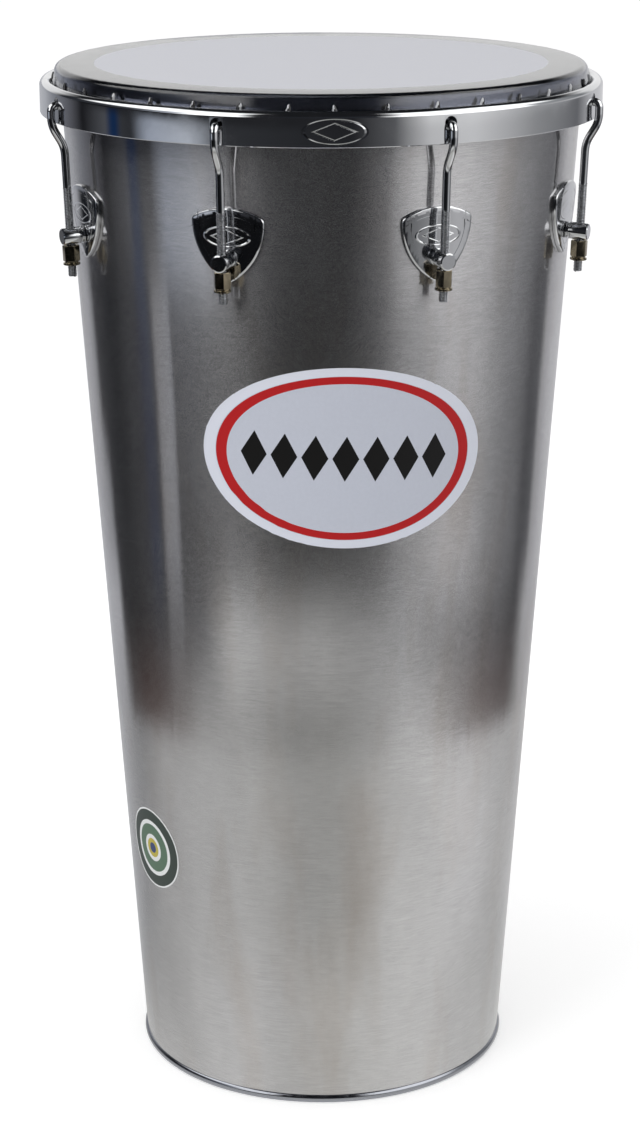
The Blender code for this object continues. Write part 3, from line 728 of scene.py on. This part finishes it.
def engrave(tree, shader, waves, across, along, uncut=0.0):
    """Engrave a plain oval with a lozenge in it, from two coordinates of the face."""
    corner = add_node(tree, "CombineXYZ", {"X": across, "Y": along})
    oval = add_node(tree, "VectorMath", {0: corner}, operation="LENGTH")
    wide = add_node(tree, "Math", {0: across}, operation="ABSOLUTE")
    tall = add_node(tree, "Math", {0: along}, operation="ABSOLUTE")
    lozenge = add_node(tree, "Math", {0: wide, 1: tall}, operation="ADD")
    gaps = []
    for distance, line in ((oval.outputs["Value"], OVAL_LINE), (lozenge, LOZENGE_LINE)):
        gap = add_node(tree, "Math", {0: distance, 1: line}, operation="SUBTRACT")
        gaps.append(add_node(tree, "Math", {0: gap}, operation="ABSOLUTE"))
    nearest = add_node(tree, "Math", {0: gaps[0], 1: gaps[1]}, operation="MINIMUM")
    face = add_node(tree, "MapRange", {"Value": nearest, "From Max": LINE_WIDTH})
    face = add_node(tree, "Math", {0: face, 1: uncut}, operation="MAXIMUM")
    cut = add_node(tree, "Bump", {
        "Strength": 1.0, "Distance": LINE_DEPTH, "Height": face, "Normal": waves})
    set_inputs(tree, shader, {"Normal": cut})


chrome = chrome_plate("bright chrome plate")[0]
print(chrome.name)

# %% Counterhoop
BAND_RADIUS = 0.1878            # so that the round band stays within the faceted solid
BAND_WALL = 0.0018
BAND_HEIGHT = 0.0220
BAND_EASE = 0.0005              # the cut edge is eased, not sharp
BAND_SIDES = 512
LIP_RADIUS = 0.0042
LIP_SWEEP = 125
LIP_TAIL = 0.0019
LIP_GAP = 0.0003                # between the lip and the flesh hoop
HOLE_RADIUS = 0.0041
HOLE_DROP = 0.0089
BAND_BADGE = (0.0215, 0.0084, 0.0098)       # half width, half height, height in the band
LUG_COUNT = 8
LUG_ANGLES = [math.tau * (i + 0.5) / LUG_COUNT for i in range(LUG_COUNT)]

sweep = math.radians(LIP_SWEEP)
tail_low = (LIP_RADIUS - BAND_WALL) * math.sin(sweep) + LIP_TAIL * math.cos(sweep)
lip = (BAND_RADIUS - LIP_RADIUS, CHANNEL_TOP + LIP_GAP - tail_low)
band_top = lip[1] + LIP_RADIUS
band_low = band_top - BAND_HEIGHT
band_inside = BAND_RADIUS - BAND_WALL
outside = bend_points(lip, LIP_RADIUS, 0, LIP_SWEEP, 14)
inside = bend_points(lip, LIP_RADIUS - BAND_WALL, LIP_SWEEP, 0, 8)
tail = (-math.sin(sweep) * LIP_TAIL, math.cos(sweep) * LIP_TAIL)
tip = [(x + tail[0], z + tail[1]) for x, z in (outside[-1], inside[0])]
section = [(band_inside, band_low + BAND_EASE), (band_inside + BAND_EASE, band_low),
           (BAND_RADIUS - BAND_EASE, band_low), (BAND_RADIUS, band_low + BAND_EASE)]
section += outside + tip + inside
hoop = draw_section("hoop_band", section)
spin_round(BAND_SIDES, ring=True)

bpy.ops.object.select_all(action="DESELECT")
drills = []
for angle in LUG_ANGLES:
    reach = BAND_RADIUS - BAND_WALL / 2
    bpy.ops.mesh.primitive_cylinder_add(
        vertices=48, radius=HOLE_RADIUS, depth=4 * BAND_WALL, rotation=(math.pi / 2, 0, angle),
        location=(reach * math.sin(angle), -reach * math.cos(angle), band_top - HOLE_DROP))
    drills.append(bpy.context.object)
join_pieces(drills[-1], drills[:-1])
cut_with(hoop, drills[-1])

# The small oval is on the front only, and what lies behind the axis stays uncut.
band_chrome, tree, shader, waves = chrome_plate("engraved chrome band")
place = add_node(tree, "TexCoord").outputs["Object"]
centred = add_node(tree, "Mapping", {
    "Vector": place, "Scale": (1 / BAND_BADGE[0], 1, 1 / BAND_BADGE[1]),
    "Location": (0, 0, -(band_low + BAND_BADGE[2]) / BAND_BADGE[1])})
split = add_node(tree, "SeparateXYZ", {0: centred})
behind = add_node(tree, "Math", {0: split.outputs["Y"], 1: 0.0}, operation="GREATER_THAN")
engrave(tree, shader, waves, split.outputs["X"], split.outputs["Z"], behind)
finish_piece(hoop, "rim", "counterhoop", "chrome_hoop", band_chrome)
print(face_count(hoop), "band from", round(band_low, 4), "to", round(band_top, 4))

# %% [markdown]
# ## Lugs
# Each lug is a chromed plate with three bowed sides, bent to the shell, and a round post
# that is screwed on through it. The outline is six arcs: three small corners, and three
# long sides that each have their centre at the corner opposite. One vertex spun six times
# draws it.

# %% Lug plate
LUG_HEIGHT = SHELL_HEIGHT - 0.1027
LUG_RADIUS = shell_radius(LUG_HEIGHT)
PLATE_WIDTH = 0.0480
PLATE_CORNER = 0.0040
PLATE_THICKNESS = 0.0030
PLATE_BEVEL = 0.0013
PLATE_TIP_DROP = 0.0157
PLATE_STRIP = 0.0020            # the plate is sliced to strips of this width, so that it bends
GROOVE_INSET = 0.0036
GROOVE_WIDTH = 0.0005
GROOVE_DEPTH = 0.0002
GROOVE_REACH = 0.0215           # the engraved line's corners are within this of the middle
PLATE_BADGE = (0.0165, 0.0070, 0.0140)      # half width, half height, height above the post
GAP = 0.0003


def place_round(pattern, stem, body, node, slot, *finishes):
    """A copy of a piece at each lug, each with its own mesh; the pattern goes."""
    for number, angle in enumerate(LUG_ANGLES, 1):
        copy = copy_of(pattern, f"{stem}_{number}")
        copy.data.transform(Matrix.Rotation(angle, 4, "Z"))
        finish_piece(copy, body.format(number), f"{node}_{number}", slot, *finishes)
    print(face_count(pattern), "in each of", LUG_COUNT)
    bpy.data.objects.remove(pattern)


def on_engraved_line(face):
    """Whether a face is a narrow one between the two insets."""
    middle = corners[0].y + 2 / 3 * rise
    return (face.normal.y < -0.99 and len(face.verts) == 4
            and min(edge.calc_length() for edge in face.edges) < 1.1 * GROOVE_WIDTH
            and max(math.hypot(v.co.x, v.co.z - middle) for v in face.verts) < GROOVE_REACH)


side = PLATE_WIDTH - 2 * PLATE_CORNER
rise = side * math.sin(math.pi / 3)
low_corner = Vector((0, PLATE_CORNER - PLATE_TIP_DROP))
corners = [low_corner, low_corner + Vector((side / 2, rise)),
           low_corner + Vector((-side / 2, rise))]
start = low_corner + PLATE_CORNER * Vector((-math.cos(math.pi / 3), -math.sin(math.pi / 3)))
plate = start_point("lug plate", (start.x, -GAP, start.y))
for i, corner in enumerate(corners):
    for centre, steps in ((corner, 6), (corners[(i + 2) % 3], 16)):
        bpy.ops.mesh.spin(steps=steps, angle=math.radians(60), axis=(0, 1, 0),
                          center=(centre.x, -GAP, centre.y))
bpy.ops.mesh.select_all(action="SELECT")
bpy.ops.mesh.remove_doubles(threshold=SAME_PLACE)
bpy.ops.mesh.edge_face_add()
bpy.ops.mesh.extrude_region_move(TRANSFORM_OT_translate={"value": (0, -PLATE_THICKNESS, 0)})
bpy.ops.mesh.select_all(action="SELECT")
bpy.ops.mesh.normals_make_consistent(inside=False)
front = -GAP - PLATE_THICKNESS
choose("EDGE", lambda edge: all(abs(v.co.y - front) < SAME_PLACE for v in edge.verts))
bpy.ops.mesh.bevel(offset=PLATE_BEVEL, segments=3, profile=0.5)
# A fine engraved line follows the outline.
choose("FACE", lambda face: face.normal.y < -0.99)
bpy.ops.mesh.inset(thickness=GROOVE_INSET)
bpy.ops.mesh.inset(thickness=GROOVE_WIDTH)
choose("FACE", on_engraved_line)
bpy.ops.mesh.extrude_region_move(TRANSFORM_OT_translate={"value": (0, GROOVE_DEPTH, 0)})
strips = round(PLATE_WIDTH / 2 / PLATE_STRIP)
for i in range(-strips, strips + 1):
    slice_across((i * PLATE_STRIP, 0, 0), (1, 0, 0))
clean_up()
# The face keeps its flat coordinates, in units of the engraved oval, before it is bent.
face_map = plate.data.uv_layers.new(name="plate face")
for corner in plate.data.loops:
    spot = plate.data.vertices[corner.vertex_index].co
    along = (spot.z - PLATE_BADGE[2]) / PLATE_BADGE[1]
    face_map.data[corner.index].uv = (spot.x / PLATE_BADGE[0], along)
xs = [vert.co.x for vert in plate.data.vertices]
zs = [vert.co.z for vert in plate.data.vertices]
width, height = max(xs) - min(xs), max(zs) - min(zs)
print("plate, mm:", round(width * 1000, 2), "by", round(height * 1000, 2))
add_modifier(plate, "SIMPLE_DEFORM", deform_method="BEND", deform_axis="Z",
             angle=width / LUG_RADIUS)
settle(plate, (0, -LUG_RADIUS, LUG_HEIGHT), SHELL_TILT)
plate_chrome, tree, shader, waves = chrome_plate("engraved chrome plate")
split = add_node(tree, "SeparateXYZ", {0: add_node(tree, "UVMap", uv_map="plate face")})
engrave(tree, shader, waves, split.outputs["X"], split.outputs["Y"])
place_round(plate, "plate", "drum_shell", "lug_plate", "chrome_plate", plate_chrome)

# %% Lug post
POST_FOOT = PLATE_THICKNESS + 2 * GAP
POST_RADIUS = 0.0056
POST_LENGTH = 0.0150
DRILL_LENGTH = 0.0200
ROD_INSET = 0.0059              # from the post's end to the rod's line
ROD_LEAN = math.radians(2.2)
THREAD_RADIUS = 0.0030
ROD_CLEARANCE = 0.0006          # the leaning rod shifts 0.3 mm in post and nut as the rim rises

outwards = Vector((0, -math.cos(SHELL_TILT), -math.sin(SHELL_TILT)))
lug_foot = Vector((0, -LUG_RADIUS, LUG_HEIGHT))
crossing = lug_foot + outwards * (POST_FOOT + POST_LENGTH - ROD_INSET)
# Radius and height: a foot ring, a neck, a second ring, a groove and the drilled head.
section = [(0, 0), (0.0052, 0), (POST_RADIUS, 0.0003), (POST_RADIUS, 0.0009), (0.0052, 0.0012),
           (0.0046, 0.0012), (0.0046, 0.0021), (0.0053, 0.0021), (POST_RADIUS, 0.0024),
           (POST_RADIUS, 0.0033), (0.0051, 0.0035), (0.0051, 0.0039), (POST_RADIUS, 0.0041),
           (POST_RADIUS, 0.0141), (0.00545, 0.0145), (0.0047, POST_LENGTH), (0, POST_LENGTH)]
post = draw_section("lug post", section)
spin_round(48, ring=False)
settle(post, lug_foot + outwards * POST_FOOT, math.pi / 2 + SHELL_TILT)
bpy.ops.mesh.primitive_cylinder_add(vertices=32, radius=THREAD_RADIUS + ROD_CLEARANCE,
                                    depth=DRILL_LENGTH, location=crossing,
                                    rotation=(ROD_LEAN, 0, 0))
cut_with(post, bpy.context.object)
place_round(post, "post", "drum_shell", "lug_post", "chrome_post", chrome)

# %% [markdown]
# ## Tension rods
# A rod is one piece of chromed steel wire with a rolled thread on its lower end. Above the
# thread it jogs outwards and hooks over through its hole in the band. The thread is a
# zigzag of one pitch, screwed up the axis and sliced flat at both ends. The shank starts as
# a circle and is extruded along the straights and spun through the bends.

# %% Thread finish
# Oil and dust lie in the thread, and the crests carry painted highlights: bright glints in patches.
thread_metal = mottled_finish(
    "oiled thread flanks", {"Metallic": 1.0}, scale=400, detail=2,
    tones=("#a4a5a8", "#dcdddf"), gloss=(0.06, 0.20))
crest_metal, tree, shader = new_finish("rolled thread crests with painted glints", {"Metallic": 1.0})
crest_glints = grain(tree, 600, 1)
glint = add_node(tree, "MapRange", {"Value": crest_glints, "From Min": 0.40, "From Max": 0.60})
tint = add_node(tree, "Mix", {
    0: glint, 6: linear("#6a6b6d"), 7: linear("#fbfbfd")}, data_type="RGBA")
rough = add_node(tree, "MapRange", {"Value": crest_glints, "To Min": 0.12, "To Max": 0.30})
set_inputs(tree, shader, {"Base Color": tint.outputs[2], "Roughness": rough})
print(crest_metal.name)

# %% Thread
PITCH = 0.0010                  # of a 6 mm machine thread
THREAD_LENGTH = 0.0585
THREAD_ROOT = 0.0025
TIP_CHAMFER = 0.0006
CREST_SHARE = 0.6               # beyond this share of the depth, the thread carries painted glints

# One tooth: root, rising flank, crest and falling flank.
section = [(THREAD_ROOT, 0), (THREAD_ROOT, PITCH * 0.2), (THREAD_RADIUS, PITCH * 0.55),
           (THREAD_RADIUS, PITCH * 0.68), (THREAD_ROOT, PITCH)]
thread = draw_section("thread", section)
bpy.ops.object.mode_set(mode="OBJECT")
add_modifier(thread, "SCREW", axis="Z", angle=math.tau, screw_offset=PITCH, steps=16,
             render_steps=16, iterations=round(THREAD_LENGTH / PITCH) + 2)
bpy.ops.object.mode_set(mode="EDIT")
bpy.ops.mesh.select_all(action="SELECT")
bpy.ops.mesh.remove_doubles(threshold=SAME_PLACE)
bpy.ops.transform.translate(value=(0, 0, -PITCH))
slice_across((0, 0, TIP_CHAMFER), (0, 0, 1), use_fill=True, clear_inner=True)
slice_across((0, 0, THREAD_LENGTH), (0, 0, 1), use_fill=True, clear_outer=True)
choose("FACE", lambda face: len(face.verts) > 8 and face.calc_center_median().z < PITCH)
bpy.ops.mesh.inset(thickness=TIP_CHAMFER)
bpy.ops.transform.translate(value=(0, 0, -TIP_CHAMFER))
clean_up(40)
crest_radius = THREAD_ROOT + CREST_SHARE * (THREAD_RADIUS - THREAD_ROOT)
thread.data.materials.append(thread_metal)
thread.data.materials.append(crest_metal)
for face in thread.data.polygons:
    if Vector(face.center[:2]).length > crest_radius:
        face.material_index = 1
print(face_count(thread))

# %% Shank and hook
ROD_RADIUS = 0.00265
ROD_TIP_DROP = 0.0080           # the rod's tip below the nut's foot
SHANK_OVERLAP = 0.0005          # the shank starts inside the thread's top
JOG_HEIGHT = 0.0140             # from the lower bend to the upper one
JOG_DROP = 0.0010               # from the band's lower edge to the upper bend
HOOK_REACH = 0.1917             # the hook's upright, from the drum's axis
HOOK_GAP = 0.0011               # between the hook's end and the flesh hoop
BENDS = [0.0200, 0.0200, 0.0036]
NUT_HEIGHT = 0.0130

hook_z = band_top - HOLE_DROP - HOLE_RADIUS + ROD_RADIUS + GAP
jog_top = band_low - JOG_DROP
up = Vector((math.sin(ROD_LEAN), math.cos(ROD_LEAN)))
rod_tip = (Vector((-crossing.y, crossing.z))
           - up * (POST_RADIUS + GAP + NUT_HEIGHT + ROD_TIP_DROP))
thread_top = rod_tip + up * THREAD_LENGTH
jog = rod_tip + up * ((jog_top - JOG_HEIGHT - rod_tip.y) / up.y)
run = [thread_top - up * SHANK_OVERLAP, jog, Vector((HOOK_REACH, jog_top)),
       Vector((HOOK_REACH, hook_z)), Vector((channel_outer + HOOK_GAP, hook_z))]


def towards(here, there):
    """Step from one point of the run to another, as a move in space."""
    return (0, -(there.x - here.x), there.y - here.y)


bpy.ops.object.select_all(action="DESELECT")
bpy.ops.mesh.primitive_circle_add(vertices=24, radius=ROD_RADIUS, rotation=(ROD_LEAN, 0, 0),
                                  location=(0, -run[0].x, run[0].y))
rod = bpy.context.object
bpy.ops.object.transform_apply(location=True, rotation=True, scale=True)
bpy.ops.object.mode_set(mode="EDIT")
bpy.ops.mesh.select_mode(type="VERT")
bpy.ops.mesh.select_all(action="SELECT")
here = run[0]
for before, corner, after, radius in zip(run, run[1:], run[2:], BENDS):
    into = (corner - before).normalized()
    out = (after - corner).normalized()
    turn = into.angle(out)
    begin = corner - into * radius * math.tan(turn / 2)
    centre = corner + (out - into).normalized() * radius / math.cos(turn / 2)
    way = 1 if into.x * out.y - into.y * out.x > 0 else -1
    bpy.ops.mesh.extrude_region_move(TRANSFORM_OT_translate={"value": towards(here, begin)})
    bpy.ops.mesh.spin(steps=max(5, round(turn * 9)), angle=way * turn, axis=(1, 0, 0),
                      center=(0, -centre.x, centre.y))
    here = corner + out * radius * math.tan(turn / 2)
bpy.ops.mesh.extrude_region_move(TRANSFORM_OT_translate={"value": towards(here, run[-1])})
ends = [vert.co for vert in bmesh.from_edit_mesh(rod.data).verts if vert.select]
middle = sum(ends, Vector()) / len(ends)
print("hook ends at", [round(v, 5) for v in middle], "wanted", [round(v, 5) for v in run[-1]])
bpy.ops.mesh.select_all(action="SELECT")
bpy.ops.mesh.fill_holes(sides=0)
clean_up()
rod.data.materials.append(chrome)
settle(thread, (0, -rod_tip.x, rod_tip.y), ROD_LEAN)
join_pieces(rod, [thread])
place_round(rod, "rod", "rim", "tension_rod", "chrome_rod")

# %% [markdown]
# ## Nuts
# The nuts are tall hexagons of nickel-plated steel, a little warmer than chrome. A cone
# cut on the top corners gives the curved edge that every turned nut has. At the foot is a
# narrow neck and a round collar.

# %% Nickel
# Nickel is a warm mirror, with a faint tarnish that handling rubs off in places.
nickel = mottled_finish(
    "warm nickel plate", {"Metallic": 1.0}, scale=160, detail=3,
    tones=("#7d7462", "#aea38b"), gloss=(0.07, 0.18))

# %% Nut
NUT_FLATS = 0.0100
NUT_BORE = THREAD_RADIUS + ROD_CLEARANCE
NUT_EASE = 0.00025              # the hexagon's edges are eased by this
HEX_FOOT = -0.0105              # the hexagon ends here; neck and collar follow
SEAM = 0.0001                   # the neck reaches this far into the hexagon

bpy.ops.object.select_all(action="DESELECT")
bpy.ops.mesh.primitive_cylinder_add(
    vertices=6, radius=NUT_FLATS / 2 / math.cos(math.pi / 6), depth=-HEX_FOOT,
    location=(0, 0, HEX_FOOT / 2), rotation=(0, 0, math.pi / 6))
nut = bpy.context.object
nut.name = "nut"
bpy.ops.object.transform_apply(location=True, rotation=True, scale=True)
add_modifier(nut, "BEVEL", width=NUT_EASE, segments=2, limit_method="ANGLE",
             angle_limit=math.radians(50))
section = [(NUT_BORE, 0), (0.0049, 0), (0.0059, -0.0006), (0.0059, HEX_FOOT + 0.0004),
           (0.0051, HEX_FOOT), (NUT_BORE, HEX_FOOT)]
cone = draw_section("nut cone", section)
spin_round(64, ring=True)
cut_with(nut, cone, "INTERSECT")
# Radius and height: a round collar with eased edges, and a neck up to the hexagon.
section = [(NUT_BORE, -NUT_HEIGHT), (0.0052, -NUT_HEIGHT), (0.0056, -0.0127), (0.0056, -0.0117),
           (0.0052, -0.0114), (0.0045, -0.0114), (0.0045, HEX_FOOT + SEAM),
           (NUT_BORE, HEX_FOOT + SEAM)]
collar = draw_section("nut collar", section)
spin_round(48, ring=True)
join_pieces(nut, [collar])
bpy.ops.object.shade_smooth_by_angle(angle=math.radians(30))
nut_top = crossing - Vector((0, -math.sin(ROD_LEAN), math.cos(ROD_LEAN))) * (POST_RADIUS + GAP)
settle(nut, nut_top, ROD_LEAN)
place_round(nut, "hex_nut", "nut_{}", "tension_nut", "warm_nut", nickel)

# %% [markdown]
# ## Lug screws and washers
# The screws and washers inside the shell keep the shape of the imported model. They are plain
# zinc-plated steel, which is a dull blue-grey with a mottled bloom.

# %% Zinc
zinc = mottled_finish(
    "zinc plated steel", {"Metallic": 1.0}, scale=300, detail=4,
    tones=("#8d9296", "#b6bbbd"), gloss=(0.28, 0.48))
for number in range(1, LUG_COUNT + 1):
    for stem in ("lug_screw", "lug_washer"):
        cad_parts[f"{stem}_{number}"].data.materials[0] = zinc

# %% [markdown]
# ## Labels
# The shell carries a large oval label and a small round one, both of printed vinyl. A label
# starts as a flat disc, which brings its own UV map, is sliced so that it can bend, and is
# shrunk onto the shell. The print is drawn from the UV map: a plain red border with a row
# of lozenges, and plain rings.

# %% Label print
LOZENGE_PITCH = 0.21            # shares of the label's half width, from middle to middle
LOZENGE_WIDTH = 0.092           # half a lozenge's width
LOZENGE_HEIGHT = 0.25           # half its height, as a share of the label's half height
ROW_END = 0.735                 # half the row's length


def ringed_vinyl(name, inputs, tones, rings):
    """Vinyl with a faint peel and rings of ink, each between two shares of the way to the rim."""
    finish, tree, shader = new_finish(name, inputs)
    peel = grain(tree, 500, 2)
    ink = add_node(tree, "Mix", {
        0: peel, 6: linear(tones[0]), 7: linear(tones[1])}, data_type="RGBA").outputs[2]
    centred = add_node(tree, "Mapping", {
        "Vector": add_node(tree, "UVMap"), "Location": (-1, -1, 0), "Scale": (2, 2, 0)})
    distance = add_node(tree, "VectorMath", {0: centred}, operation="LENGTH").outputs["Value"]
    for start, end, colour in rings:
        mask = add_node(tree, "Math", {
            0: distance, 1: (start + end) / 2, 2: (end - start) / 2}, operation="COMPARE")
        ink = add_node(tree, "Mix", {
            0: mask, 6: ink, 7: linear(colour)}, data_type="RGBA").outputs[2]
    bump = add_node(tree, "Bump", {"Strength": 0.08, "Distance": 0.0001, "Height": peel})
    set_inputs(tree, shader, {"Base Color": ink, "Normal": bump})
    return finish, tree, shader, centred, ink


oval_print, tree, shader, centred, ink = ringed_vinyl(
    "printed white vinyl", {"Roughness": 0.45, "IOR": 1.5, "Specular IOR Level": 0.25},
    ("#b9bdc9", "#c0c4d0"), [(0.91, 1.10, "#d3d6e1"), (0.825, 0.905, "#b00a10")])
# Lozenges: |x| wrapped to one pitch, plus |y|, is less than one.
split = add_node(tree, "SeparateXYZ", {0: centred})
wrapped = add_node(tree, "Math", {
    0: split.outputs["X"], 1: LOZENGE_PITCH / 2}, operation="PINGPONG")
share_x = add_node(tree, "Math", {0: wrapped, 1: 1 / LOZENGE_WIDTH}, operation="MULTIPLY")
tall = add_node(tree, "Math", {0: split.outputs["Y"]}, operation="ABSOLUTE")
share_y = add_node(tree, "Math", {0: tall, 1: 1 / LOZENGE_HEIGHT}, operation="MULTIPLY")
total = add_node(tree, "Math", {0: share_x, 1: share_y}, operation="ADD")
inside_one = add_node(tree, "Math", {0: total, 1: 1.0}, operation="LESS_THAN")
wide = add_node(tree, "Math", {0: split.outputs["X"]}, operation="ABSOLUTE")
in_row = add_node(tree, "Math", {0: wide, 1: ROW_END}, operation="LESS_THAN")
lozenges = add_node(tree, "Math", {0: inside_one, 1: in_row}, operation="MULTIPLY")
ink = add_node(tree, "Mix", {0: lozenges, 6: ink, 7: linear("#0c0b0c")}, data_type="RGBA")
set_inputs(tree, shader, {"Base Color": ink.outputs[2]})

round_print = ringed_vinyl(
    "printed round sticker", {"Roughness": 0.42, "IOR": 1.5}, ("#d9dbdc", "#e6e8e8"),
    [(0.70, 0.96, "#26352f"), (0.34, 0.60, "#4d6b55"), (0.00, 0.24, "#b5a63a"),
     (0.00, 0.13, "#26386e")])[0]
print(oval_print.name, "and", round_print.name)

# %% Labels on the shell
LABELS = [                      # name, half width, half height, degrees right, height, print
    ("oval_label", 0.0950, 0.0605, 3.0, 0.4705, oval_print),
    ("round_label", 0.0305, 0.0290, -60.0, 0.1690, round_print),
]
VINYL = 0.00012
VINYL_GAP = 0.00006             # the glue under the vinyl
ASKEW = math.radians(2.4)       # the labels were stuck on by hand
SLICE = 0.0020                  # the disc is sliced this finely, so that it bends
HELD_OFF = 0.0010               # the bent label starts this far off the shell

for name, half_width, half_height, degrees, height, ink in LABELS:
    bpy.ops.object.select_all(action="DESELECT")
    bpy.ops.mesh.primitive_circle_add(vertices=160, radius=1, fill_type="NGON",
                                      rotation=(math.pi / 2, 0, 0))
    label = bpy.context.object
    label.name = name
    label.scale = (half_width, half_height, 1)
    bpy.ops.object.transform_apply(location=True, rotation=True, scale=True)
    label.rotation_euler = (0, ASKEW, 0)
    bpy.ops.object.transform_apply(rotation=True)
    bpy.ops.object.mode_set(mode="EDIT")
    for half, axis in ((half_width, (1, 0, 0)), (half_height, (0, 0, 1))):
        slices = max(8, round(half / SLICE))
        for i in range(1, slices):
            cut = half * (2 * i / slices - 1)
            slice_across([cut * a for a in axis], axis)
    bpy.ops.object.mode_set(mode="OBJECT")
    radius = shell_radius(height)
    add_modifier(label, "SIMPLE_DEFORM", deform_method="BEND", deform_axis="Z",
                 angle=label.dimensions.x / radius)
    settle(label, (0, -radius - HELD_OFF, height), SHELL_TILT)
    label.data.transform(Matrix.Rotation(math.radians(degrees), 4, "Z"))
    add_modifier(label, "SHRINKWRAP", target=shell, offset=VINYL_GAP,
                 wrap_method="NEAREST_SURFACEPOINT", wrap_mode="ABOVE_SURFACE")
    add_modifier(label, "SOLIDIFY", thickness=VINYL, offset=1.0)
    bpy.ops.object.shade_smooth_by_angle(angle=math.radians(30))
    finish_piece(label, "drum_shell", None, "aluminium_shell", ink)
    print(face_count(label))

# %% [markdown]
# ## Colour view
# The picture is shown with the Standard view transform. The finished drum has to stay
# within the imported model's box.

# %% View transform
bpy.context.scene.view_settings.view_transform = "Standard"
